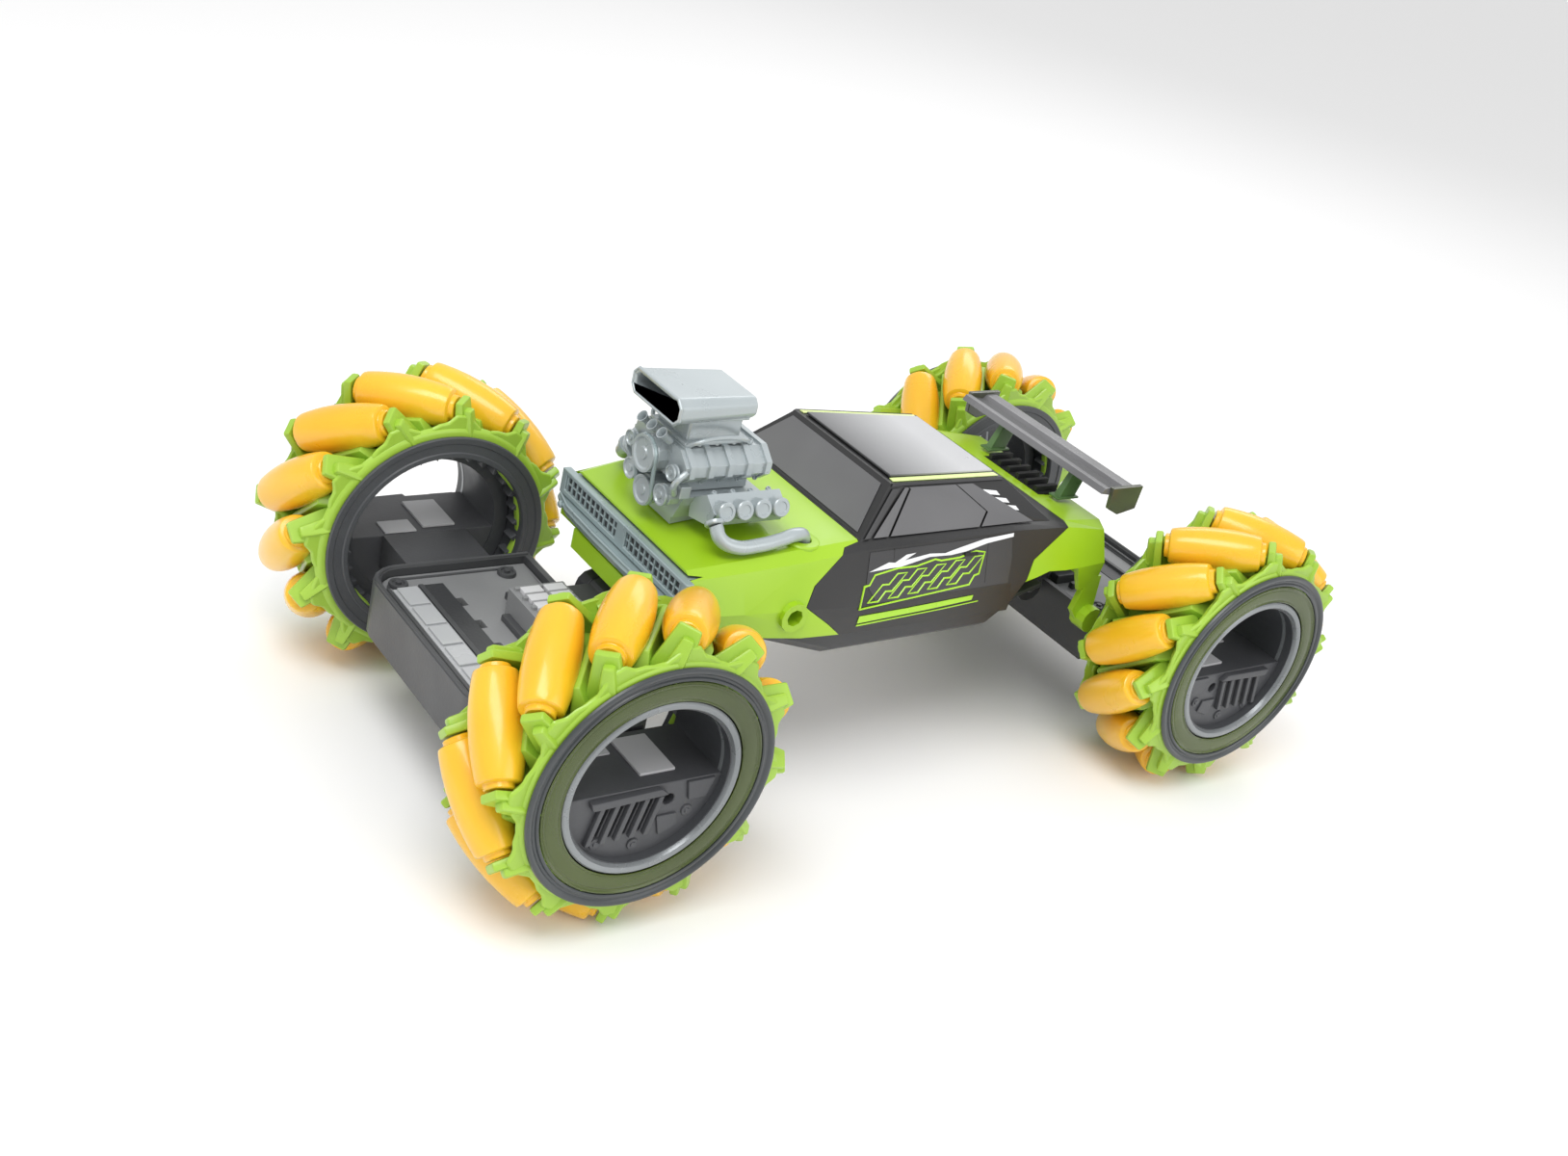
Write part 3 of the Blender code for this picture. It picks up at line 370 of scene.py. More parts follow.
lime = moulded("lime_gloss", (148, 190, 24), (166, 206, 42), (0.3, 0.42), 0.04,
               Coat_Weight=0.2, Coat_Roughness=0.22)
wheel_lime = moulded("wheel_lime", (146, 184, 50), (164, 202, 70), (0.3, 0.42), 0.07,
                     Coat_Weight=0.15, Coat_Roughness=0.2)
amber = moulded("roller_amber", (230, 172, 20), (244, 194, 46), (0.24, 0.36), 0.05, 1200,
                Coat_Weight=0.35, Coat_Roughness=0.12, Subsurface_Weight=0.08,
                Subsurface_Scale=0.003)
rim_black = moulded("rim_black", (44, 48, 50), (64, 69, 72), (0.28, 0.42), 0.08,
                    Coat_Weight=0.25, Coat_Roughness=0.2)
drum_grey = moulded("drum_grey", (58, 60, 63), (78, 80, 83), (0.38, 0.52), 0.12)
hub_grey = moulded("hub_grey", (62, 63, 66), (84, 85, 88), (0.38, 0.52), 0.15)
lip_grey = moulded("lip_grey", (120, 124, 126), (150, 154, 156), (0.22, 0.34), 0.05,
                   Metallic=0.35)
tray_grey = moulded("tray_grey", (58, 59, 61), (74, 75, 77), (0.36, 0.5), 0.15)
floor_grey = moulded("tray_floor_grey", (112, 113, 114), (136, 137, 138), (0.42, 0.56), 0.15)
block_grey = moulded("block_grey", (184, 184, 186), (204, 204, 206), (0.35, 0.48), 0.06)
lens_grey = moulded("lens_grey", (160, 162, 164), (182, 184, 186), (0.2, 0.32), 0.05,
                    Coat_Weight=0.4)
print("wheel and tray finishes:", len(bpy.data.materials))

# %% [markdown]
# The body, the engine and the printed marks use the same plastic with other colours. The engine
# is silver paint over plastic, so it is only a quarter metallic, and the steel pins are nearly
# all metal.

# %% Body, engine and print finishes
silver = moulded("engine_silver", (164, 173, 176), (186, 194, 196), (0.24, 0.36), 0.05, 1400,
                 Metallic=0.25, Coat_Weight=0.25, Coat_Roughness=0.15)
grille_silver = moulded("grille_silver", (150, 166, 168), (176, 190, 192), (0.24, 0.36), 0.05,
                        Metallic=0.3, Coat_Weight=0.25)
cabin_black = moulded("cabin_black", (30, 30, 31), (46, 46, 47), (0.34, 0.46), 0.05,
                      Coat_Weight=0.1, Coat_Roughness=0.3)
door_grey = moulded("door_grey", (44, 44, 46), (64, 64, 66), (0.28, 0.4), 0.06,
                    Coat_Weight=0.4, Coat_Roughness=0.15)
glass_grey = moulded("glass_grey", (92, 92, 94), (112, 112, 114), (0.3, 0.42), 0.04,
                     Coat_Weight=0.3, Coat_Roughness=0.2)
blue_grey = moulded("blue_grey", (112, 132, 142), (134, 152, 162), (0.3, 0.42), 0.06)
tub_grey = moulded("tub_grey", (46, 47, 49), (64, 65, 67), (0.32, 0.48), 0.12)
belt_black = moulded("belt_black", (22, 23, 24), (32, 33, 34), (0.5, 0.65), 0.2)
post_green = moulded("post_green", (72, 104, 60), (92, 124, 74), (0.25, 0.38), 0.06)
wing_grey = moulded("wing_grey", (92, 92, 94), (126, 126, 128), (0.2, 0.32), 0.04,
                    Coat_Weight=0.4, Coat_Roughness=0.1)
steel = moulded("steel", (150, 152, 156), (182, 184, 188), (0.2, 0.34), 0.04, 1600,
                Metallic=0.9)
board_green = moulded("board_green", (16, 70, 40), (24, 88, 52), (0.3, 0.42), 0.1)
wrap_blue = moulded("wrap_blue", (30, 52, 120), (42, 66, 140), (0.25, 0.36), 0.05)
decal_white = moulded("decal_white", (226, 228, 230), (240, 241, 242), (0.25, 0.36), 0.02)
decal_lime = moulded("decal_lime", (162, 214, 44), (178, 228, 58), (0.25, 0.36), 0.02)
roof_cream = moulded("roof_cream", (214, 232, 150), (228, 240, 176), (0.22, 0.32), 0.03)
print("materials:", len(bpy.data.materials))

# %% [markdown]
# The smoky window ring and the wing's end plates are clear tinted plastic. An alpha a little
# below one lets the dark parts behind show through, and the coat gives it a hard bright surface.
# The roof is silver-grey, and painted light is blended into its colour along X: it is darker
# towards its front edge and lighter towards the rear.

# %% Smoky clear plastic and the roof's painted light
smoke = moulded("window_smoke", (58, 70, 22), (82, 96, 38), (0.16, 0.26), 0.0,
                Coat_Weight=0.2, Coat_Roughness=0.1, Alpha=0.92)
wing_smoke = moulded("wing_smoke", (66, 70, 58), (92, 94, 80), (0.14, 0.26), 0.03,
                     Coat_Weight=0.5, Coat_Roughness=0.08, Alpha=0.94)
# The roof's painted light fades along X between these two places, in millimetres.
painted_light_start, painted_light_end = 8, -30


def roof_with_painted_light():
    """Silver-grey with painted light: darker at the front edge of the roof, lighter towards the
    rear.
    """
    made = moulded("roof_painted_light", (96, 97, 99), (104, 105, 107), (0.26, 0.36), 0.03,
                   Metallic=0.2, Coat_Weight=0.4, Coat_Roughness=0.12)
    tree = made.node_tree
    split = tree.nodes.new("ShaderNodeSeparateXYZ")
    place = tree.nodes.new("ShaderNodeTexCoord").outputs["Object"]
    tree.links.new(place, split.inputs["Vector"])
    fade = add_node(tree, "ShaderNodeMapRange", From_Min=painted_light_start * MM,
                    From_Max=painted_light_end * MM, To_Min=0.0, To_Max=1.0)
    tree.links.new(split.outputs["X"], fade.inputs["Value"])
    # Painted light: dark grey at the roof's front edge blends into pale grey towards the rear.
    colour = mixed(tree, fade.outputs["Result"], linear(74, 75, 77), linear(190, 191, 193))
    tree.links.new(colour, tree.nodes["Principled BSDF"].inputs["Base Color"])
    return made


roof_painted_light = roof_with_painted_light()
print("clear and shaded finishes ready")

# %% [markdown]
# ## Rollers
#
# A mecanum wheel carries barrels set askew in its rim, so it can roll sideways. Each barrel is a
# turned profile: a narrow collar, a sharp shoulder with a small round, and a long crown that is
# thickest in the middle. Twelve copies stand round the wheel at 42 degrees to the axle.

# %% Model a roller
wheel_radius = 52.0
roller_angle = math.radians(42)
roller_count = 12
roller_step = math.tau / roller_count
first_roller = math.radians(20)
roller_centre = 0.846 * wheel_radius
roller_half = 11.9 / math.cos(roller_angle)
collar = 1.6


def roller():
    """One barrel along Z, with collars at both ends."""
    end = roller_half
    upper = [(7.95, 0.0), (7.85, 0.28 * end), (7.45, 0.55 * end), (6.85, 0.8 * end),
             (6.45, 0.93 * end), (6.15, 0.975 * end), (5.6, 0.995 * end), (4.5, end),
             (4.35, end + 0.2), (4.3, end + 1.3), (3.9, end + collar), (0.0, end + collar)]
    lower = [(radius, -height) for radius, height in reversed(upper[1:])]
    return turned(lower + upper, 36, closed=False)


def roller_matrix(index):
    """Takes a shape along Z to a roller's place on the left front wheel, with Y outwards."""
    angle = first_roller + index * roller_step
    outward = Vector((math.cos(angle), 0, math.sin(angle)))
    around = Vector((-math.sin(angle), 0, math.cos(angle)))
    along = math.cos(roller_angle) * Vector((0, 1, 0)) - math.sin(roller_angle) * around
    matrix = Matrix((outward.cross(along), outward, along)).transposed().to_4x4()
    matrix.translation = outward * roller_centre
    return matrix


def axle_matrix():
    """Turns a shape along Z so that it lies along the axle, with +Z outboard."""
    return Matrix.Rotation(math.radians(-90), 4, "X")


print("roller length", round(2 * roller_half, 1))

# %% [markdown]
# One wheel is the pattern. The car mirrors it left to right and front to rear, so that the
# rollers of each pair lean opposite ways. A mirrored copy needs its faces turned round, which
# `placed` does when the matrix has a negative determinant.

# %% Put one pattern on four wheels
def on_wheels(name, make, material, body, replaced, weighted=True):
    """The pattern shape on each wheel, mirrored for its side and end."""
    for corner in CORNERS:
        side = 1 if corner[1] == "l" else -1
        end = 1 if corner[0] == "f" else -1
        matrix = Matrix.Translation(wheel_centre[corner]) @ Matrix.Diagonal((end, side, 1, 1))
        rides = body.format(corner=corner, module="front" if end > 0 else "rear")
        nodes_gone = [node + "_" + corner for node in replaced]
        add_piece(name + "_" + corner, placed(make(), matrix), material, rides, nodes_gone,
                  weighted=weighted)
    print(name, "on four wheels")


def roller_set():
    """The twelve rollers of one wheel."""
    return repeated(roller, [roller_matrix(index) for index in range(roller_count)])


on_wheels("roller_set", roller_set, amber, "wheel_{corner}", ["rollers"],
          weighted=False)

# %% [markdown]
# ## Wheel frames
#
# The lime moulding that holds the rollers is a drum between two flanges. An ear stands in front
# of each end of each roller and carries its pin, and a sloping rib fills the gap between each
# two rollers. The drum is turned; ears and ribs are tapered blocks in each roller's own frame.

# %% Drum, ears and ribs
half_width = 21.0
flange_outer = half_width - 1.5
flange_inner = half_width - 3.8
ear_foot, ear_tip = 34.2, 49.3


def tapered(width, depth, low, high, top_share, bevel):
    """A block that narrows upwards: width in X, height in Y, depth in Z."""
    bm = bmesh.new()
    bmesh.ops.create_cube(bm, size=1)
    bmesh.ops.scale(bm, vec=(width, high - low, depth), verts=bm.verts)
    bmesh.ops.translate(bm, vec=(0, (low + high) / 2, 0), verts=bm.verts)
    top = [vertex for vertex in bm.verts if vertex.co.y > (low + high) / 2]
    bmesh.ops.scale(bm, vec=(top_share, 1, 0.82), verts=top)
    return softened(bm, bevel, 2)


def spool():
    """The drum with its two flanges, turned about the axle."""
    profile = [(39.6, flange_outer), (33.2, flange_outer), (33.2, -flange_outer),
               (39.6, -flange_outer), (40.9, -flange_outer + 0.8), (41.6, -flange_inner - 0.4),
               (41.2, -flange_inner + 0.3), (37.6, -flange_inner + 1.6),
               (35.2, -flange_inner + 4.0), (34.4, 0), (35.2, flange_inner - 4.0),
               (37.6, flange_inner - 1.6), (41.2, flange_inner - 0.3), (41.6, flange_inner + 0.4),
               (40.9, flange_outer - 0.8)]
    return placed(turned(profile, 96), axle_matrix())


def ears(index):
    """Two pin ears for one roller, and their sloping buttresses."""
    matrix = roller_matrix(index)
    reach = roller_half + collar
    aside = reach * math.sin(roller_angle)
    foot = math.sqrt(ear_foot ** 2 - aside ** 2) - roller_centre - 0.4
    tip = math.sqrt(ear_tip ** 2 - aside ** 2) - roller_centre
    made = []
    for side in (-1, 1):
        ear = tapered(11.5, 3.3, foot, tip, 0.6, 0.7)
        made.append(placed(ear, matrix @ Matrix.Translation((0, 0, side * (reach + 2.0)))))
        heel = tapered(6.4, 5.4, foot, tip - 2.6, 0.55, 0.9)
        made.append(placed(heel, matrix @ Matrix.Translation((side, 0, side * (reach + 3.7)))))
    return made


def between_rollers(index):
    """A low rib parallel to the rollers, midway between two of them."""
    turn = Matrix.Rotation(-roller_step / 2, 4, "Y")
    rib = tapered(6.5, 2 * roller_half + 6, -11.5, -3.0, 0.3, 0.6)
    return placed(rib, turn @ roller_matrix(index))


print("ears stand from", ear_foot, "to", ear_tip, "mm off the axle")

# %% [markdown]
# The flanges are not plain discs. Their edge climbs in twelve ramps to the feet of the ears and
# drops again. Such an edge is an outline in polar steps. A ring of faces between it and a round
# bore is raised and bevelled, which leaves the wheel open in the middle as the real one is.

# %% Flanges with ramps
def fringe(outline, bore, thickness, bevel):
    """A flat ring with an uneven outside, in X and Y, raised along Z."""
    bm = bmesh.new()
    outside = [bm.verts.new((x, y, 0)) for x, y in outline]
    inside = [bm.verts.new((x * bore / math.hypot(x, y), y * bore / math.hypot(x, y), 0))
              for x, y in outline]
    count = len(outline)
    faces = [bm.faces.new((outside[i], outside[(i + 1) % count], inside[(i + 1) % count],
                           inside[i])) for i in range(count)]
    return softened(raised(bm, faces, thickness), bevel, 3)


def petals(side):
    """A ring of twelve ramps, each climbing to the foot of an ear."""
    outline = []
    lean = side * 0.265
    for index in range(roller_count):
        start = first_roller + index * roller_step - lean
        for share, radius in ((-0.36, 41.4), (-0.2, 43.6), (-0.08, 45.4), (0.1, 45.6),
                              (0.22, 43.0), (0.36, 42.6), (0.5, 41.6)):
            angle = start + side * share * roller_step
            outline.append((radius * math.cos(angle), radius * math.sin(angle)))
    ring = upright(fringe(outline, 34.5, 3.3, 0.9), 15.3)
    inner = [vertex for vertex in ring.verts
             if vertex.co.y < 16.6 and math.hypot(vertex.co.x, vertex.co.z) > 38]
    bmesh.ops.scale(ring, vec=(0.955, 1, 0.955), verts=inner)
    return ring if side > 0 else placed(ring, Matrix.Diagonal((1, -1, 1, 1)))


def wheel_frame():
    """The whole lime moulding of one wheel."""
    shapes = [spool(), petals(1), petals(-1)]
    for index in range(roller_count):
        shapes += ears(index)
        shapes.append(between_rollers(index))
    return together(shapes)


on_wheels("lime_frame", wheel_frame, wheel_lime, "wheel_{corner}", ["wheel_frame"])

# %% [markdown]
# ## Rims, window ring and driven gear
#
# The outer face of the wheel is three turned rings: a black rim with a rolled lip, a smoky flat
# ring let into it, and the grey lip of the hub. The back of the wheel shows the dark tube that
# turns with it, with thirty-two teeth round its bore, which the motor's pinion drives.

# %% Turned rings
tooth_count = 32


def black_rim():
    """The rolled black rim on the outer face."""
    face = half_width
    profile = [(40.0, flange_outer + 0.3), (40.15, face - 0.9), (39.9, face - 0.25),
               (39.4, face), (38.8, face - 0.05), (38.3, face - 0.35), (37.9, face - 0.75),
               (37.2, face - 0.75), (36.9, face - 0.3), (36.4, face - 0.2), (36.0, face - 0.45),
               (35.9, flange_outer + 0.3)]
    return placed(turned(profile, 128), axle_matrix())


def smoky_ring():
    """The tinted flat ring, with a bead along each edge."""
    seat = flange_outer
    profile = [(35.6, seat + 0.3), (35.6, seat + 1.0), (35.2, seat + 1.15),
               (34.7, seat + 0.75), (34.2, seat + 0.7), (33.7, seat + 0.95),
               (31.0, seat + 0.95), (30.5, seat + 0.7), (30.0, seat + 0.7),
               (29.6, seat + 0.95), (29.3, seat + 0.8), (29.3, seat + 0.3)]
    return placed(turned(profile, 128), axle_matrix())


def driven_tube():
    """The dark tube with a broad rounded lip on the inboard side, and its teeth."""
    back = -half_width
    profile = [(32.3, flange_outer), (32.3, back + 1.2), (38.4, back + 1.2), (38.8, back + 0.9),
               (38.8, back + 0.3), (38.4, back), (36.6, back + 0.05), (36.2, back + 0.45),
               (33.4, back + 0.45), (33.0, back), (31.6, back), (31.25, back + 0.4),
               (31.25, flange_outer)]
    tube = placed(turned(profile, 128), axle_matrix())
    tooth = [(31.4, -1.5), (28.95, 0), (31.4, 1.5)]
    stand = Matrix.Rotation(math.radians(90), 4, "X")
    teeth = []
    for index in range(tooth_count):
        turn = math.radians(-90) + math.pi / tooth_count + index * math.tau / tooth_count
        matrix = Matrix.Rotation(-turn, 4, "Y") @ Matrix.Translation((0, -12.6, 0))
        teeth.append(placed(slab(tooth, 5.3, 0.12, 1), matrix @ stand))
    return together([tube] + teeth)


on_wheels("black_rim", black_rim, rim_black, "wheel_{corner}", ["outer_rim"])
on_wheels("smoky_ring", smoky_ring, smoke, "wheel_{corner}", ["window_ring"])
on_wheels("driven_tube", driven_tube, drum_grey, "wheel_{corner}", ["ring_gear"])

# %% [markdown]
# ## Hub
#
# The hub doesn't turn. Its ring carries the wheel, and a box across its lower part holds the
# motor. The plate over the box has four slanted vents and a keyhole, which Boolean cutters
# carve, because a vent with a true wall catches light and shade that a painted one can't.

# %% Carving with cutters
def carved(bm, cutters):
    """The shape with the cutters taken away."""
    mesh, tool = bpy.data.meshes.new("stock"), bpy.data.meshes.new("tool")
    bm.to_mesh(mesh)
    bm.free()
    together(cutters).to_mesh(tool)
    stock, cutter = bpy.data.objects.new("stock", mesh), bpy.data.objects.new("tool", tool)
    for item in (stock, cutter):
        bpy.context.scene.collection.objects.link(item)
    cut = stock.modifiers.new("Cut", "BOOLEAN")
    cut.object = cutter
    cut.solver = "EXACT"
    made = bmesh.new()
    graph = bpy.context.evaluated_depsgraph_get()
    made.from_mesh(stock.evaluated_get(graph).to_mesh())
    for item in (stock, cutter):
        bpy.data.objects.remove(item, do_unlink=True)
    bmesh.ops.remove_doubles(made, verts=made.verts, dist=0.001)
    bmesh.ops.dissolve_limit(made, angle_limit=math.radians(0.5), verts=made.verts,
                             edges=made.edges)
    return made


print("cutters ready")

# %% [markdown]
# The ring and its bright lip are turned. The box is what is left of a disc below a level, so a
# circle is cut by a plane and raised. The ribs, ledges and screws on its plate are small slabs
# and turned heads that stand a little proud of it.

# %% Model the hub
hub_inner, hub_outer = 25.8, 28.6
hub_start, hub_end = -10.5, 20.2
hub_plate = hub_end - 4
vent_step = 4.8


def hub_ring():
    """The fixed tube that the wheel turns on."""
    profile = [(hub_outer, hub_end - 1.2), (hub_outer, hub_start + 2.5), (30.8, hub_start + 2.5),
               (30.8, hub_start), (hub_inner, hub_start), (hub_inner, hub_end - 1.2)]
    return placed(turned(profile, 128), axle_matrix())


def hub_lip():
    """The bright rounded lip in the wheel's mouth."""
    profile = [(28.9, hub_end - 1.1), (28.9, hub_end - 0.2), (28.4, hub_end + 0.25),
               (27.6, hub_end + 0.35), (26.8, hub_end), (26.2, hub_end - 1.2),
               (25.9, hub_end - 3.0), (25.7, hub_end - 6.0), (26.4, hub_end - 6.0),
               (26.4, hub_end - 1.1)]
    return placed(turned(profile, 128), axle_matrix())


def disc_part(radius, top, thickness):
    """A slice of a disc below a level, lying in X and Y."""
    bm = bmesh.new()
    bmesh.ops.create_circle(bm, cap_ends=True, segments=96, radius=radius)
    bmesh.ops.bisect_plane(bm, geom=bm.verts[:] + bm.edges[:] + bm.faces[:],
                           plane_co=(0, top, 0), plane_no=(0, 1, 0), clear_outer=True)
    return raised(bm, bm.faces[:], thickness)


def hub_box():
    """The closed box across the hub's lower part, with vents cut in its plate."""
    back = hub_start + 0.5
    box = upright(disc_part(hub_inner + 0.6, -2.0, hub_plate - back), back)
    cut_start = hub_plate - 4
    cutters = []
    for index in range(4):
        x = -4 + index * vent_step
        vent = slab([(x, -6), (x + 2.4, -6), (x + 5.2, -17.5), (x + 2.8, -17.5)], 9, 0)
        cutters.append(upright(vent, cut_start))
    keyhole = turned([(0, 0), (1.9, 0), (1.9, 9), (0, 9)], 20, closed=False)
    cutters.append(placed(upright(keyhole, cut_start), Matrix.Translation((-9, 0, -8))))
    return softened(carved(box, cutters), 0.25, 1, 40)


def hub_details():
    """A ledge over the vents, ribs between them, two low panels and the screws."""
    face = hub_end - 4.2
    shapes = [slab([(18.5, -2.8), (-4.5, -2.2), (-7.5, -4.6), (17.5, -5.6)], 2.4, 0.5),
              slab([(-14, -2.4), (-23.5, -2.4), (-21.5, -9), (-15.5, -9)], 1.2, 0.4),
              slab([(-5.5, -13), (-12.5, -13), (-13.5, -17.5), (-7.5, -20)], 1.0, 0.4)]
    for index in range(5):
        x = -6.2 + index * vent_step
        rib = [(x, -5.0), (x + 1.8, -5.0), (x + 4.8, -18.0), (x + 3.0, -18.0)]
        shapes.append(slab(rib, 2.0, 0.45))
    shapes = [upright(shape, face) for shape in shapes]
    for x, z in ((-18, -5.6), (0.5, -21.5), (13.5, -18.5), (-16, -13)):
        screw = turned([(0, 0.9), (0.7, 0.9), (0.9, 0.55), (1.7, 0.55), (1.9, 0.2), (1.9, -1.5),
                        (0, -1.5)], 20, closed=False)
        shapes.append(placed(placed(screw, axle_matrix()), Matrix.Translation((x, hub_plate, z))))
    return together(shapes)


def hub_block():
    """Two pale covers let into the top of the hub box."""
    return together([brick((-13, -7, -2.4), (-1, 11, -1.2), 0.35),
                     brick((2, -9, -2.4), (13.5, -1, -1.5), 0.3)])


on_wheels("hub_ring", hub_ring, drum_grey, "{module}_module", [])
on_wheels("hub_lip", hub_lip, lip_grey, "{module}_module", [])
on_wheels("hub_box", hub_box, hub_grey, "{module}_module", ["hub_carrier"],
          weighted=False)
on_wheels("hub_details", hub_details, hub_grey, "{module}_module", [])
on_wheels("hub_block", hub_block, block_grey, "{module}_module", [])
for corner in CORNERS:
    painted("drive_pinion_" + corner, lens_grey)
    painted("drive_motor_" + corner, steel)

# %% [markdown]
# ## Axle modules
#
# Each pair of wheels hangs on a tray. The trays are plain moulded boxes, so the frame's own
# shapes are used with rounded edges, and the ribs, tiles and screws that break up their tops
# are added as separate pieces. The cover's floor has several holes, and a face made whole round
# holes bevels badly, so the cover keeps its triangles.

# %% Trays and covers
for end in ("front", "rear"):
    refined(end + "_axle_case", tray_grey, 0.6, 3)
    refined(end + "_axle_cover", floor_grey, 0.3, 2, dissolve=0)
    refined(end + "_pivot_pin", steel, 0.3, 2)
refined("front_light_bar", lens_grey, 0.25, 2)
tray_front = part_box("front_axle_case")[1].x / MM
tray_rear = 97.0
tray_half = 43.0
tile_row = tray_front - 5
cover_top = axle_height - 4.6
print("tray from", tray_rear, "to", round(tray_front, 1))

# %% [markdown]
# The tray's rim is a bead that runs round the top of the wall, so it is a thin pipe laid along
# the wall's outline. A curve with a round bevel makes the pipe, and it becomes a mesh at once so
# that it is handled like every other piece.

# %% Pipes
def pipe(points, radius, cyclic=False, smooth=False, sides=3):
    """A round bar through points, as a bmesh in millimetres."""
    curve = bpy.data.curves.new("pipe", "CURVE")
    curve.dimensions = "3D"
    curve.bevel_depth = radius
    curve.bevel_resolution = sides
    curve.resolution_u = 8
    curve.use_fill_caps = True
    spline = curve.splines.new("BEZIER" if smooth else "POLY")
    track = spline.bezier_points if smooth else spline.points
    track.add(len(points) - 1)
    for point, place in zip(track, points):
        if smooth:
            point.co = place
            point.handle_left_type = point.handle_right_type = "AUTO"
        else:
            point.co = (*place, 1)
    spline.use_cyclic_u = cyclic
    item = bpy.data.objects.new("pipe", curve)
    bpy.context.scene.collection.objects.link(item)
    graph = bpy.context.evaluated_depsgraph_get()
    bm = bmesh.new()
    bm.from_mesh(item.evaluated_get(graph).to_mesh())
    bpy.data.objects.remove(item, do_unlink=True)
    bpy.data.curves.remove(curve)
    bmesh.ops.remove_doubles(bm, verts=bm.verts, dist=0.001)
    bmesh.ops.recalc_face_normals(bm, faces=bm.faces)
    return bm


def tray_bead(inset_rear, inset_front, inset_side, corner, height, radius):
    """A bead that follows the tray's wall at an inset, open towards the body."""
    back, front = tray_rear + inset_rear, tray_front - inset_front
    half = tray_half - inset_side
    points = [(back, half, height)]
    for sign, start in ((1, 90), (-1, 0)):
        for step in range(7):
            angle = math.radians(start - step * 90 / 6)
            points.append((front - corner + corner * math.cos(angle),
                           sign * (half - corner) + corner * math.sin(angle), height))
    return pipe(points + [(back, -half, height)], radius, sides=2)


print("pipes and tray beads ready")

# %% [markdown]
# The rest of a tray's fittings are bevelled blocks and turned screw towers. They are drawn for
# the front tray, and a mirror matrix gives the rear one.

# %% Tray fittings
def tray_details():
    """Rim bead, inner ledge, two cross ribs and four screw towers."""
    shapes = [tray_bead(1, 1.2, 1.2, 10, axle_height - 2.0, 0.8),
              tray_bead(8, 4.6, 5.2, 7, cover_top + 0.1, 0.55),
              brick((tile_row - 11.4, -32, cover_top - 0.2), (tile_row - 9.6, 32, cover_top + 1.4)),
              brick((tile_row + 0.3, -31, cover_top - 0.2), (tile_row + 1.6, 31, cover_top + 1.6))]
    for y in (-34.5, 34.5):
        for x in (tray_front - 9, tray_rear + 12):
            tower = turned([(0, 1.6), (0.9, 1.6), (1.0, 0.7), (1.9, 0.7), (2.2, 1.3), (3.0, 1.3),
                            (3.2, 0.9), (3.3, -0.3), (0, -0.3)], 24, closed=False)
            shapes.append(placed(tower, Matrix.Translation((x, y, cover_top))))
    return together(shapes)


def dark_strip():
    """The darker band beside the tiles, and the floors of the row of square holes."""
    hole_x, hole_half = 133.0, 2.4
    shapes = [brick((tile_row - 19, -33, cover_top - 0.3), (tile_row - 11.8, 33, cover_top + 0.25),
                    0.1, 1)]
    for y in (-21, -7, 7, 21):
        shapes.append(brick((hole_x - hole_half, y - hole_half, cover_top - 2.6),
                            (hole_x + hole_half, y + hole_half, cover_top - 2.2), 0.1, 1))
    return together(shapes)


def housing_grid():
    """Pale tiles in two rows on the gear housing."""
    top = axle_height + 5.0
    shapes = []
    for row in range(2):
        for column in range(4):
            x, y = 103.4 + row * 8.4, -9.0 + column * 4.8
            shapes.append(brick((x, y, top - 0.4), (x + 7.2, y + 3.9, top + 1.3), 0.35))
    return together(shapes)


def housing_sides():
    """Steps and hooks round the gear housing."""
    top = cover_top
    shapes = []
    for side in (-1, 1):
        shapes.append(side_brick(side, (104, 11.2, top - 0.4), (119, 15.5, top + 3.6), 0.6))
        shapes.append(side_brick(side, (108, 18, top - 0.4), (117, 20.4, top + 2.4), 0.5))
    shapes.append(brick((121.5, -8, top - 0.3), (124.5, 8, top + 2.2), 0.6))
    return together(shapes)


def for_both_ends(name, make, material):
    """A piece of the front module, and its mirror image on the rear module."""
    for end, sign in (("front", 1), ("rear", -1)):
        add_piece(end + "_" + name, placed(make(), Matrix.Diagonal((sign, 1, 1, 1))), material,
                  end + "_module", ())
    print(name, "on both trays")


for_both_ends("tray_trim", tray_details, tray_grey)
for_both_ends("tray_band", dark_strip, tub_grey)
for_both_ends("housing_tiles", housing_grid, block_grey)
for_both_ends("housing_steps", housing_sides, tray_grey)

# %% [markdown]
# ## Body
#
# The body is three mouldings: a lime nose, a dark cabin and a lime tail. The frame's shapes have
# the right form but hard corners. The nose and tail get a broad bevel along their shoulders,
# where the real moulding rolls over, and then a small one everywhere. The shoulders are found by
# where they lie and which way they run, so the frame may change without breaking the choice.

# %% Rolled shoulders
def choose_edges(bm, chosen, low_angle, high_angle):
    """Edges whose two ends pass a test, and that fold by an angle within a range in degrees."""
    found = []
    for edge in bm.edges:
        ends = [vertex.co for vertex in edge.verts]
        if len(edge.link_faces) == 2 and chosen(ends, (ends[0] - ends[1]).normalized()):
            if math.radians(low_angle) < edge.calc_face_angle(0) < math.radians(high_angle):
                found.append(edge)
    return found


def on_shoulder(ends, direction):
    """True for a lengthwise edge high up on the body's side."""
    high = min(end.z for end in ends) - body_base
    wide = min(abs(end.y) for end in ends)
    return abs(direction.x) > 0.9 and high > 30 and wide > 28


def on_tail_corner(ends, direction):
    """True for an upright edge at the outer corner of the tail."""
    wide = min(abs(end.y) for end in ends)
    long = min(abs(end.x) for end in ends)
    return abs(direction.z) > 0.7 and wide > 34 and long > 86


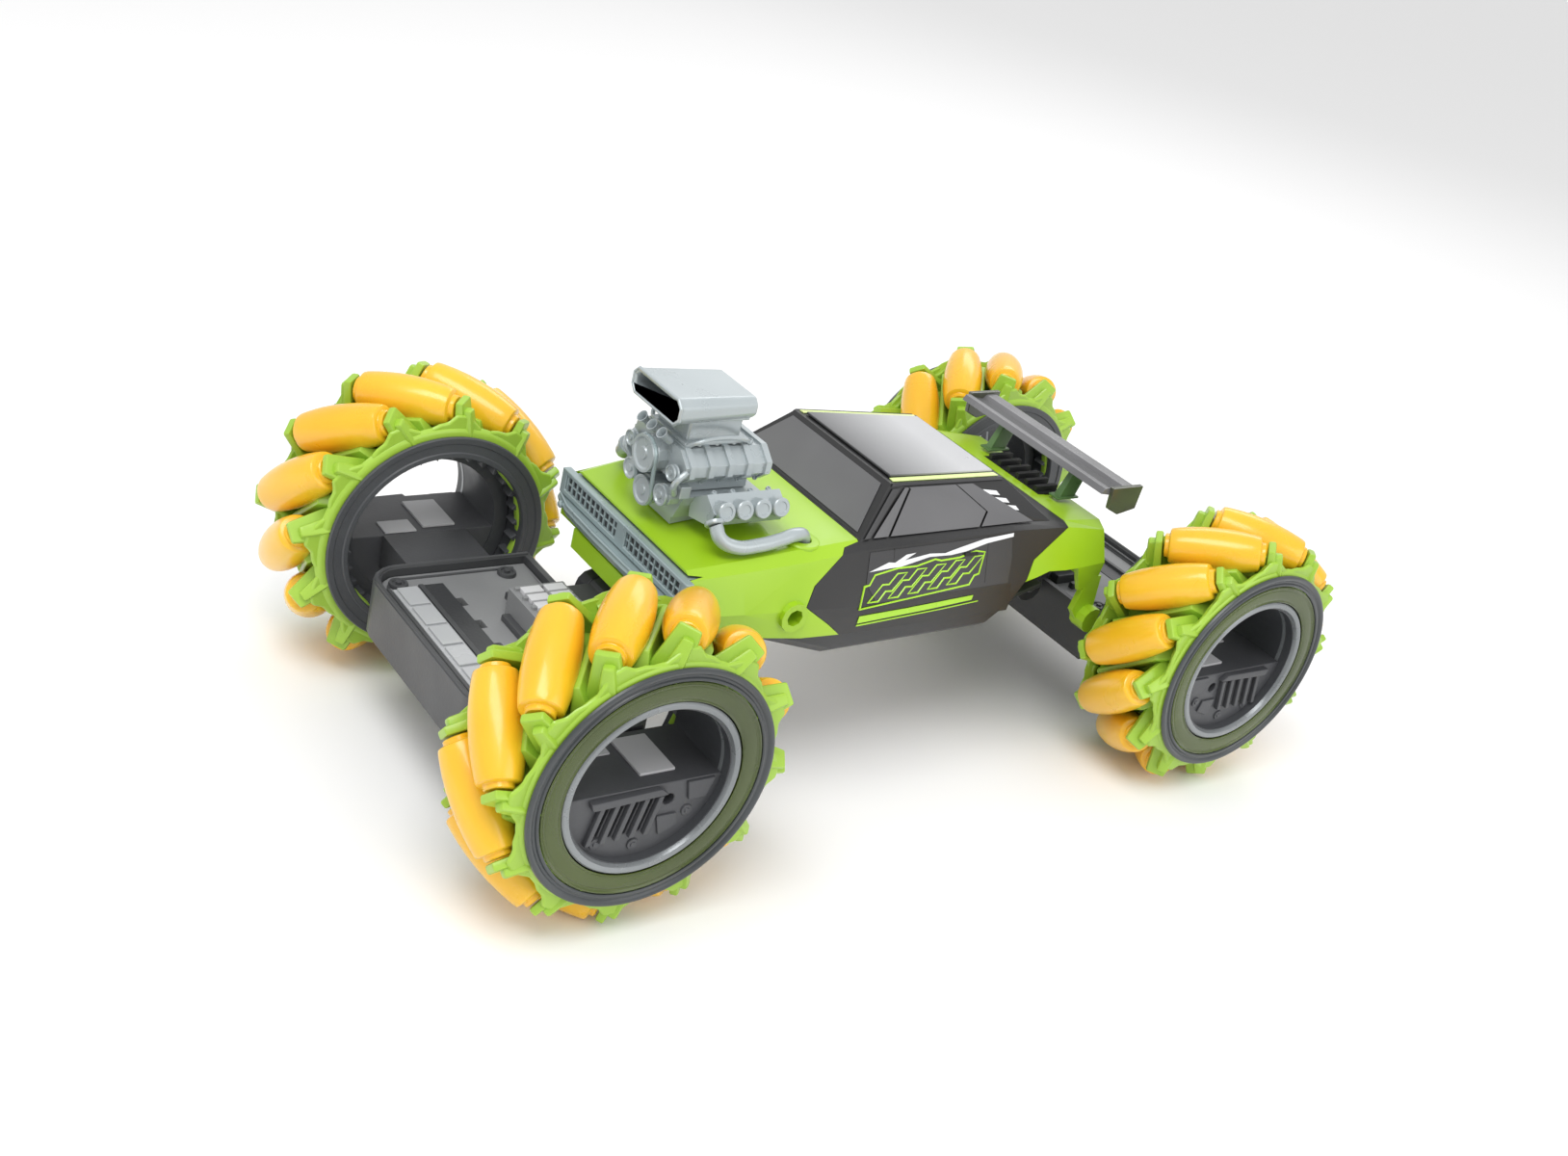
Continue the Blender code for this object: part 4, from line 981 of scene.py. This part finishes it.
def body_shell(node):
    """The nose or the tail, with rolled shoulders."""
    bm = frame_copy(node)
    bevelled(bm, choose_edges(bm, on_shoulder, 12, 70), 2.2, 5)
    if node == "rear_body":
        bevelled(bm, choose_edges(bm, on_tail_corner, 50, 180), 5.0, 5)
    return rounded_shell(node, bm, lime, 0.55, 3, sharp=28, angle=28)


for node in ("front_body", "rear_body"):
    body_shell(node)
    print(node, "rolled over")

# %% [markdown]
# The other mouldings of the body need only small rounds, larger on what hands touch and smaller
# on thin plates. The battery and the board lie inside the tub and are seen only when it opens.

# %% Rounded body parts
for node, material, bevel, segments, slot in (
        ("cabin", cabin_black, 0.5, 2, "black"),
        ("roof_panel", roof_painted_light, 0.25, 2, "roof"),
        ("chassis_tub", tub_grey, 0.5, 2, "dark"),
        ("battery_door", tub_grey, 0.25, 1, "dark"),
        ("power_switch", rim_black, 0.15, 1, "black"),
        ("rear_bumper", blue_grey, 0.5, 2, "blue_grey"),
        ("front_grille", grille_silver, 0.35, 2, "silver"),
        ("bumper_bar", grille_silver, 0.6, 3, "silver"),
        ("rear_louvre", belt_black, 0.25, 1, "black"),
        ("battery_pack", wrap_blue, 0.4, 2, "wrap"),
        ("circuit_board", board_green, 0.1, 1, "board")):
    refined(node, material, bevel, segments)
    print(node, "rounded by", bevel)

# %% [markdown]
# ## Windows, doors and graphics
#
# Panes and stickers lie flat on the body's panels. `pane` takes the four corners of a panel and
# an outline in shares of its width and height. The sides of the cabin are folded slightly along
# a diagonal, so the outline is first cut along that diagonal, and then each half is laid on its
# own triangle of the panel and raised by a thickness. Near the fold the two normals are blended.
# A panel whose corners run the other way round would turn the pane inside out, so its faces are
# reversed then.

# %% Laying panes on a panel
fold_blend = 0.08


def pane(corners, outline, lift=0.05, thickness=0.35, bevel=0.12):
    """An outline of (across, up) shares laid on a four-cornered panel and raised."""
    low_start, low_end, high_end, high_start = [Vector(corner) for corner in corners]
    bm = bmesh.new()
    bm.faces.new([bm.verts.new((across, up, 0)) for across, up in outline])
    bmesh.ops.bisect_plane(bm, geom=bm.verts[:] + bm.edges[:] + bm.faces[:],
                           plane_co=(1, 0, 0), plane_no=(1, 1, 0))
    raised(bm, bm.faces[:], 1)
    first_across, first_up = low_end - low_start, high_start - low_start
    second_across, second_up = high_start - high_end, low_end - high_end
    normals = (first_across.cross(first_up).normalized(),
               second_across.cross(second_up).normalized())
    centre = (low_start + low_end + high_end + high_start) / 4
    outward = Vector((0, centre.y, centre.z - body_base - 20))
    sign = 1 if normals[0].dot(outward) > 0 else -1
    for vertex in bm.verts:
        across, up, top = vertex.co
        if across + up <= 1:
            spot = low_start + first_across * across + first_up * up
        else:
            spot = high_end + second_across * (1 - across) + second_up * (1 - up)
        share = min(max((across + up - 1) / fold_blend + 0.5, 0), 1)
        normal = normals[0].lerp(normals[1], share).normalized() * sign
        vertex.co = spot + normal * (lift + thickness * top)
    bm.normal_update()
    if sign < 0:
        bmesh.ops.reverse_faces(bm, faces=bm.faces)
    return softened(bm, bevel, 2)


def left(point):
    """A point on the left side, from its height above the base of the body."""
    return level(*point)


def right(point):
    """The mirror image of a point on the left side."""
    return level(point[0], -point[1], point[2])


belt_front, belt_rear = (28.6, 40.2, 40), (-69.5, 40.2, 40)
roof_front, roof_rear = (9.1, 28.3, 60.3), (-45.4, 25.1, 57.2)
door_high_rear, door_high_front = (-44, 40.3, 44), (24, 40.3, 43)
door_low_front, door_low_rear = (24, 45.5, 25), (-44, 45.5, 26)
sill_front, sill_rear = (24, 44.5, 14), (-44, 44.5, 14)
windscreen = [left(belt_front), right(belt_front), right(roof_front), left(roof_front)]
rear_window = [right(belt_rear), left(belt_rear), left(roof_rear), right(roof_rear)]
side_windows = [left(belt_front), left(belt_rear), left(roof_rear), left(roof_front)]
roof_top = [left(roof_front), left(roof_rear), right(roof_rear), right(roof_front)]
door_panel = [left(door_low_front), left(door_low_rear), left(door_high_rear),
              left(door_high_front)]
sill_panel = [left(sill_front), left(sill_rear), left(door_low_rear), left(door_low_front)]
print("windscreen height", round((Vector(windscreen[3]) - Vector(windscreen[0])).length, 1))

# %% [markdown]
# The windows are grey glossy stickers with a dark gap between each two, so each pane is its own
# outline. Two thin dark strips cover the pillar and the roof edge. Everything on the sides is
# made for the left and mirrored.

# %% Windows
def body_piece(name, bm, material, replaces=()):
    """A piece that rides on the chassis."""
    return add_piece(name, bm, material, "chassis", replaces)


def both_sides(name, shapes, material):
    """Shapes made for the left side, and their mirror image."""
    left_half = together(shapes)
    right_half = placed(left_half.copy(), Matrix.Diagonal((1, -1, 1, 1)))
    body_piece(name, together([left_half, right_half]), material)
    print(name, "on both sides")


body_piece("windscreen", pane(windscreen, [(0.035, 0.3), (0.965, 0.3), (0.955, 0.93),
                                           (0.045, 0.93)]), glass_grey)
body_piece("rear_window", pane(rear_window, [(0.06, 0.28), (0.94, 0.28), (0.92, 0.9),
                                             (0.08, 0.9)]), glass_grey)
both_sides("side_windows", [
    pane(side_windows, [(0.052, 0.26), (0.115, 0.26), (0.095, 0.92), (0.075, 0.92)]),
    pane(side_windows, [(0.126, 0.26), (0.53, 0.26), (0.515, 0.92), (0.106, 0.92)]),
    pane(side_windows, [(0.541, 0.26), (0.84, 0.26), (0.67, 0.92), (0.526, 0.92)]),
], glass_grey)
both_sides("pillar_trim", [
    pane(side_windows, [(0.012, 0.26), (0.036, 0.26), (0.056, 0.92), (0.02, 0.92)], 0.05, 0.5),
    pane(side_windows, [(0.01, 0.95), (0.97, 0.95), (0.97, 0.99), (0.01, 0.99)], 0.05, 0.5),
], door_grey)

# %% [markdown]
# A pale stripe runs along each edge of the roof. The two are one outline and its mirror image
# across the middle of the panel.

# %% Roof stripes
stripe = [(0.03, 0.012), (0.97, 0.012), (0.965, 0.055), (0.035, 0.055)]
stripes = [pane(roof_top, outline, 0.05, 0.4)
           for outline in (stripe, [(across, 1 - up) for across, up in stripe])]
body_piece("roof_stripes", together(stripes), roof_cream)
print("roof stripes laid")

# %% [markdown]
# The doors carry a printed flash. It is an abstract run of slanted bolts under a white streak,
# with a lime bar along the sill, and it holds no letters. The white streak is partly print and
# partly a painted highlight along the crease under the window. A printed line is a very thin pipe
# that is sunk halfway into the door, which keeps its width the same all the way round.

# %% Door graphics
def bolt(start, width, height, base):
    """One slanted zigzag, as a closed outline on the door."""
    lean = 0.085
    points = [(0, 0), (0.42, 0), (0.5, 0.36), (0.78, 0.34), (1.0, 1.0), (0.6, 1.0), (0.48, 0.62),
              (0.2, 0.64)]
    return [(start + width * x - lean * (0.5 - y), base + height * y) for x, y in points]


def outline_band(outline, width):
    """The closed outline as a thin printed line on the door."""
    low_start, low_end, high_end, high_start = [Vector(corner) for corner in door_panel]
    track = []
    for across, up in outline:
        low, high = low_start.lerp(low_end, across), high_start.lerp(high_end, across)
        track.append(low.lerp(high, up))
    return pipe(track, width, cyclic=True, sides=1)


def door_bolts():
    """Five slanted bolts, and a jagged line that runs round all of them."""
    rows = [bolt(0.09 + 0.125 * i, 0.15, 0.46, 0.04 + 0.03 * i) for i in range(5)]
    edge = [(0.0, -0.06), (0.7, 0.1), (0.73, 0.26), (0.76, 0.28), (0.79, 0.68), (0.73, 0.72),
            (0.62, 0.64), (0.5, 0.63), (0.46, 0.67), (0.34, 0.59), (0.22, 0.6), (0.08, 0.53),
            (0.05, 0.36), (0.02, 0.34)]
    return [outline_band(row, 0.42) for row in rows] + [outline_band(edge, 0.45)]


both_sides("door_panels", [
    pane(door_panel, [(0.1, 0.02), (0.97, 0.02), (0.985, 0.5), (0.97, 0.95), (0.04, 0.95),
                      (0.03, 0.4)], 0.03, 0.15, 0.05),
], door_grey)
both_sides("door_flash", door_bolts(), decal_lime)
# The white streak is partly print and partly a painted highlight along the crease under the window.
both_sides("door_streak_and_highlight", [
    pane(door_panel, [(0.04, 0.6), (0.16, 0.73), (0.2, 0.71), (0.27, 0.83), (0.33, 0.84),
                      (0.26, 0.73), (0.42, 0.79), (0.52, 0.76), (0.62, 0.83), (0.78, 0.93),
                      (0.98, 0.97), (0.98, 0.9), (0.8, 0.84), (0.66, 0.74), (0.56, 0.71),
                      (0.42, 0.73), (0.24, 0.62), (0.17, 0.62)], 0.2, 0.12, 0.03),
], decal_white)
both_sides("sill_bar", [
    pane(sill_panel, [(0.02, 0.36), (0.75, 0.62), (0.75, 0.78), (0.02, 0.62)], 0.05, 0.2, 0.05),
    pane(sill_panel, [(0.02, 0.25), (0.8, 0.52), (0.8, 0.55), (0.02, 0.3)], 0.05, 0.2, 0.03),
], decal_lime)

# %% [markdown]
# The door's seams are two thin black lines with a small handle by the rear one. Behind the last
# side window the pillar carries three slanted white chips and a lime spark.

# %% Seams and pillar marks
def pillar_chips():
    """Slanted chips behind the rear side window."""
    chips = []
    for row in range(3):
        start, base = 0.7 + 0.012 * row, 0.74 - 0.13 * row
        outline = [(start, base), (start + 0.1, base - 0.03), (start + 0.112, base + 0.045),
                   (start + 0.008, base + 0.08)]
        chips.append(pane(side_windows, outline, 0.05, 0.12, 0.03))
    return chips


both_sides("door_seam", [
    pipe([level(11, 45.05, 26.5), level(11, 40.5, 42.6)], 0.22, sides=1),
    pipe([level(-31, 45.05, 27.5), level(-31, 40.5, 43.2)], 0.22, sides=1),
    brick(level(-26, 42.2, 37.6), level(-20, 43.0, 38.8)),
], belt_black)
both_sides("pillar_chips", pillar_chips(), decal_white)
both_sides("pillar_flash", [
    pane(side_windows, [(0.645, 0.84), (0.69, 0.8), (0.68, 0.72), (0.7, 0.6), (0.665, 0.66),
                        (0.655, 0.74)], 0.05, 0.12, 0.03),
], decal_lime)

# %% [markdown]
# ## Nose and tail trim
#
# The grille's two recesses have dark floors and hold a mesh of thin bars. The lower bar has a
# groove line and a bolt at each end. Bars this thin are blocks with one bevel step, which is
# enough for a glint.

# %% Grille mesh and bumper bar
grille_face = 88 + 3.2
bar_count = 11


def grille_mesh():
    """Upright bars and one crossbar in each recess."""
    shapes = []
    for side in (-1, 1):
        for index in range(bar_count):
            y = side * (5.2 + index * 3.1)
            shapes.append(brick(level(grille_face - 1.1, y - 0.42, 30.4),
                                level(grille_face - 0.25, y + 0.42, 36.1), 0.15, 1))
        shapes.append(side_brick(side, level(grille_face - 1.1, 3, 33.0),
                                 level(grille_face - 0.5, 37.4, 33.6), 0.12, 1))
    return together(shapes)


def grille_backs():
    """The dark floors of the two recesses."""
    return together([side_brick(side, level(grille_face - 1.3, 3.2, 30.6),
                                level(grille_face - 0.95, 37, 35.9), 0.05, 1)
                     for side in (-1, 1)])


def bumper_trim():
    """A groove line and two end bolts on the lower bar."""
    half_track = [(91.0, 39), (93.4, 30), (94.2, 10)]
    track = [(x, -y) for x, y in half_track] + half_track[::-1]
    shapes = [pipe([level(x, y, 28.3) for x, y in track], 0.45, sides=2)]
    for y in (-35, 35):
        bolt_head = turned([(0, 0.8), (0.8, 0.8), (1.3, 0.3), (1.3, -0.6), (0, -0.6)], 18,
                           closed=False)
        stand = Matrix.Translation(level(92.9, y, 26.3)) @ Matrix.Rotation(math.radians(90), 4, "Y")
        shapes.append(placed(bolt_head, stand))
    return together(shapes)


body_piece("grille_backs", grille_backs(), tub_grey)
body_piece("grille_mesh", grille_mesh(), grille_silver)
body_piece("bumper_trim", bumper_trim(), grille_silver)
print("grille has", 2 * bar_count, "bars")

# %% [markdown]
# The wing is a long extrusion on two posts, with smoky plates on its ends. Its section is drawn
# in X and Z and stood up, so the rails along its edges run the whole span. The posts are cubes
# whose tops are narrowed and leaned back.

# %% Wing
post_side = 20


def wing_blade():
    """A blade with a raised rail along each edge and a slot between them."""
    section = [(-81.6, 55.2), (-83.0, 57.3), (-85.4, 57.3), (-86.4, 55.9), (-92.6, 55.3),
               (-94.0, 56.8), (-98.6, 57.0), (-100.4, 56.0), (-99.6, 54.8), (-90.0, 53.8)]
    return upright(slab(section, 80), -40, body_base)


def wing_slot():
    """The dark floor of the slot between the blade's two rails."""
    return brick(level(-92.0, -38, 55.3), level(-87.0, 38, 56.0), 0.15, 1)


def wing_plates():
    """The two smoky end plates."""
    outline = [(-85.6, 57.8), (-86.4, 49.4), (-92.0, 46.8), (-100.6, 48.6), (-101.2, 57.8)]
    return together([upright(slab(outline, 1.9, 0.35), y, body_base) for y in (-41.6, 39.7)])


def wing_posts():
    """Two leaning posts and their feet."""
    shapes = []
    for side in (-1, 1):
        post = bmesh.new()
        bmesh.ops.create_cube(post, size=1)
        bmesh.ops.scale(post, vec=(8, 3.4, 10.6), verts=post.verts)
        top = [vertex for vertex in post.verts if vertex.co.z > 0]
        bmesh.ops.scale(post, vec=(0.95, 0.75, 1), verts=top)
        bmesh.ops.translate(post, vec=(-4.2, 0, 0), verts=top)
        shapes.append(placed(softened(post, 0.5),
                             Matrix.Translation(level(-86, side * post_side, 49))))
        shapes.append(side_brick(side, level(-91.5, post_side - 2.6, 43.6),
                                 level(-80.5, post_side + 2.6, 44.5), 0.4))
    return together(shapes)


body_piece("wing_blade", wing_blade(), wing_grey, ["spoiler"])
body_piece("wing_slot", wing_slot(), tub_grey)
body_piece("wing_plates", wing_plates(), wing_smoke)
body_piece("wing_posts", wing_posts(), post_green)
print("wing posts", 2 * post_side, "mm apart")

# %% [markdown]
# ## Engine
#
# The engine is a silver dress-up moulding: a block with valve covers, a ribbed blower, belts and
# a scoop. Its big shapes come from the frame with rounded edges. Turned caps, bolts and pulleys
# are laid over them, and small tubes fill the gaps, because small crisp parts give it scale.

# %% Engine castings
refined("engine_block", silver, 0.5, 2)
refined("blower_case", silver, 0.6, 3)
refined("intake_scoop", silver, 0.8, 4)


def small_cap(radius, height):
    """A round cap with a chamfer and a dished face, along Z."""
    return turned([(0, height - 0.45), (radius * 0.55, height - 0.45), (radius * 0.62, height),
                   (radius * 0.9, height), (radius, height - 0.35), (radius, 0), (0, 0)], 28,
                  closed=False)


def valve_caps():
    """A row of four caps on the outside of each valve cover, with a small bolt over each."""
    shapes = []
    for side in (-1, 1):
        for x in (51.5, 58.5, 65.5, 72.5):
            shapes.append(placed(small_cap(3.2, 3.3),
                                 aimed(level(x, side * 24.6, 53.5), (0, side, 0.32))))
            shapes.append(placed(small_cap(0.9, 0.9),
                                 aimed(level(x, side * 18.5, 56.2), (0, side * 0.5, 1))))
    return together(shapes)


body_piece("valve_caps", valve_caps(), silver)
print("castings and valve caps ready")

# %% [markdown]
# A belt runs from the crank pulley up to the blower. The pulleys are turned with a groove in
# their rim. The belt is a thin closed bar along two half circles, and it needs no teeth at this
# size.

# %% Belt drive
crank_height, blower_height = 49.4, 62.5


def pulley(radius, width):
    """A grooved pulley along Z."""
    return turned([(0, width), (radius * 0.3, width), (radius * 0.35, width - 0.5),
                   (radius * 0.75, width - 0.5), (radius * 0.85, width), (radius, width),
                   (radius, width - 0.6), (radius - 0.7, width - 0.9), (radius - 0.7, 0.9),
                   (radius, 0.6), (radius, 0), (0, 0)], 36, closed=False)


def front_drive():
    """Pulleys on the nose of the engine and blower, as place, radius and width."""
    spots = (((84.2, 0, crank_height), 5.0, 2.6), ((84.2, -9.5, 52.4), 3.6, 2.2),
             ((84.2, 9.5, 52.4), 3.6, 2.2), ((86.6, 0, blower_height), 6.2, 2.6),
             ((84.4, 12.6, 61.6), 2.6, 2.0), ((84.4, -12.6, 61.6), 2.6, 2.0))
    return together([placed(pulley(radius, width), aimed(level(*place), (1, 0, 0)))
                     for place, radius, width in spots])


def drive_belt():
    """A flat belt from the crank pulley up to the blower, as a loop of thin bar."""
    points = []
    for start, x, radius, height in ((180, 85.9, 4.6, crank_height), (0, 88.0, 5.8, blower_height)):
        for step in range(9):
            angle = math.radians(start + step * 180 / 8)
            points.append(level(x, radius * math.cos(angle), height + radius * math.sin(angle)))
    return pipe(points, 0.75, cyclic=True, sides=2)


body_piece("front_drive", front_drive(), silver)
body_piece("drive_belt", drive_belt(), grille_silver)
print("belt rises", round(blower_height - crank_height, 1))

# %% [markdown]
# Under the scoop stand three injector stacks, with fuel lines, brackets and small bolts round
# them. The scoop's mouth has a rolled lip. Tubes that bend are smooth curves through a few
# points, and what is straight is a block.

# %% Stacks, tubes and scoop lip
def stacks_and_tubes():
    """Injector stacks under the scoop's mouth, fuel lines, brackets and bolts."""
    shapes = []
    for y in (6, 0, -6):
        stack = turned([(1.2, 0), (1.2, 3.4), (2.0, 5.2), (1.7, 5.2), (0.9, 3.4), (0.9, 0.2),
                        (0, 0.2), (0, 0)], 24, closed=False)
        shapes.append(placed(stack, aimed(level(84, y, 69), (0.8, 0, 0.7))))
    for side in (-1, 1):
        shapes.append(pipe([level(81, side * 9, 68), level(79, side * 12.8, 71.5),
                            level(70, side * 13.2, 73), level(60, side * 12, 71.2),
                            level(56, side * 9.5, 68.4)], 0.75, smooth=True))
        shapes.append(pipe([level(82, side * 15.6, 63), level(85.5, side * 15.2, 59),
                            level(84, side * 13.4, 54.5)], 1.1, smooth=True))
        shapes.append(side_brick(side, level(78.5, 10, 53), level(82.5, 15, 57.4), 0.5))
        for x in (56, 62.5, 69, 75.5):
            shapes.append(placed(small_cap(1.0, 1.0),
                                 aimed(level(x, side * 9.6, 69.0), (0, 0, 1))))
        for x in (53, 60, 67, 74):
            shapes.append(placed(small_cap(0.8, 0.8),
                                 aimed(level(x, side * 12.2, 57.6), (0, side, 0.1))))
    shapes.append(brick(level(58.5, -10.2, 77.0), level(81.5, 10.2, 78.2), 0.4))
    shapes.append(brick(level(58.5, -10.6, 69.2), level(81.5, 10.6, 70.6), 0.4))
    return together(shapes)


def scoop_trim():
    """A rolled lip round the scoop's mouth."""
    mouth = ((-11.9, 77.9), (11.9, 77.9), (14.1, 80.0), (14.1, 84.0), (11.9, 86.1),
             (-11.9, 86.1), (-14.1, 84.0), (-14.1, 80.0))
    return pipe([level(88.2, y, z) for y, z in mouth], 0.62, cyclic=True)


body_piece("stacks_and_tubes", stacks_and_tubes(), silver)
body_piece("scoop_lip", scoop_trim(), silver)
print("scoop trimmed")

# %% [markdown]
# An exhaust sweeps from each bank of valve covers back and down into the bonnet, where the
# bonnet has a raised round rim. The pipe is a thick smooth curve with a turned flange at its
# head.

# %% Exhaust pipes
def pipe_collars():
    """A raised round rim where each exhaust pipe enters the bonnet."""
    shapes = []
    for side in (-1, 1):
        rim = turned([(6.2, 0.0), (5.8, 0.5), (5.2, 0.6), (3.4, 0.6), (3.1, 0.2), (3.1, -0.8),
                      (6.2, -0.8)], 40)
        shapes.append(placed(rim, Matrix.Translation(level(43.4, side * 31.4, 43.95))))
    return together(shapes)


def headers():
    """Exhaust pipes that sweep from the valve covers back into the bonnet."""
    shapes = []
    for side in (-1, 1):
        points = [(76.4, 28.2, 50.6), (75.6, 31.0, 47.3), (71.0, 33.2, 45.2), (63, 34, 45.3),
                  (54, 33.5, 46.2), (47, 32.5, 46.9), (43.4, 31.6, 45.6), (42.4, 31, 42.0)]
        shapes.append(pipe([level(x, side * y, z) for x, y, z in points], 2.3, smooth=True,
                           sides=6))
        flange = turned([(0, 0.7), (2.9, 0.7), (3.2, 0.3), (3.2, -0.6), (0, -0.6)], 28,
                        closed=False)
        shapes.append(placed(flange, aimed(level(76.6, side * 27.6, 51.0), (0.1, side, -0.9))))
    return together(shapes)


body_piece("pipe_collars", pipe_collars(), lime)
body_piece("headers", headers(), silver, ["exhaust_left", "exhaust_right"])
print("exhausts ready")

# %% [markdown]
# ## Stage, light and camera
#
# A white floor runs to the horizon, and a bright even sky keeps the shadows soft. One large
# lamp above the nose makes the long highlights on the rollers, and two weaker ones fill the
# shadow side and the far edge.

# %% Stage
def stage_floor():
    """A large white floor that belongs to the stage and not to the car."""
    floor_mesh = bpy.data.meshes.new("floor")
    bm = bmesh.new()
    bmesh.ops.create_grid(bm, x_segments=4, y_segments=4, size=6)
    bm.to_mesh(floor_mesh)
    bm.free()
    floor = bpy.data.objects.new("floor", floor_mesh)
    bpy.context.scene.collection.objects.link(floor)
    paint = bpy.data.materials.new("floor_white")
    paint.use_nodes = True
    shader = paint.node_tree.nodes["Principled BSDF"]
    shader.inputs["Base Color"].default_value = (0.93, 0.93, 0.93, 1)
    shader.inputs["Roughness"].default_value = 0.9
    floor_mesh.materials.append(paint)
    return floor


def even_sky(strength):
    """A white sky that lights everything alike."""
    sky = bpy.data.worlds.new("studio")
    sky.use_nodes = True
    background = sky.node_tree.nodes["Background"]
    background.inputs["Color"].default_value = (1, 1, 1, 1)
    background.inputs["Strength"].default_value = strength
    bpy.context.scene.world = sky


def lamp(name, place, size, power):
    """A rectangular lamp that looks at the middle of the car."""
    data = bpy.data.lights.new(name, "AREA")
    data.shape = "RECTANGLE"
    data.size, data.size_y = size
    data.energy = power
    made = bpy.data.objects.new(name, data)
    made.location = place
    target = Vector((0, 0, 0.05))
    made.rotation_euler = (target - Vector(place)).to_track_quat("-Z", "Y").to_euler()
    bpy.context.scene.collection.objects.link(made)
    return made


stage_floor()
even_sky(0.8)
lamp("key", (0.5, 0.25, 1.1), (0.9, 0.5), 8)
lamp("fill", (-0.4, 1.2, 0.7), (1.0, 0.8), 4)
lamp("rim", (-0.9, -0.7, 0.9), (0.8, 0.4), 2.5)

# %% [markdown]
# The camera looks down on the car from beyond its left front corner and is rolled a little. Its
# three axes are worked out from the azimuth, the elevation and the roll, and they are the
# columns of its matrix.

# %% Camera
azimuth, elevation, roll = math.radians(138.77), math.radians(26.74), math.radians(14.55)
camera_place = (0.3783, 0.4099, 0.3292)
back = Vector((math.sin(azimuth) * math.cos(elevation), -math.cos(azimuth) * math.cos(elevation),
               math.sin(elevation)))
sideways = Vector((0, 0, 1)).cross(back).normalized()
rise = back.cross(sideways)
rolled_right = math.cos(roll) * sideways + math.sin(roll) * rise
rolled_up = math.cos(roll) * rise - math.sin(roll) * sideways
lens = bpy.data.cameras.new("camera")
lens.lens = 40.0
lens.sensor_width = 36
lens.clip_start, lens.clip_end = 0.02, 30
camera = bpy.data.objects.new("camera", lens)
camera.matrix_world = Matrix.Translation(camera_place) @ Matrix(
    (rolled_right, rolled_up, back)).transposed().to_4x4()
bpy.context.scene.collection.objects.link(camera)
bpy.context.scene.camera = camera
bpy.context.scene.view_settings.view_transform = "Standard"
print("camera", round(Vector(camera_place).length, 3), "m from the car")
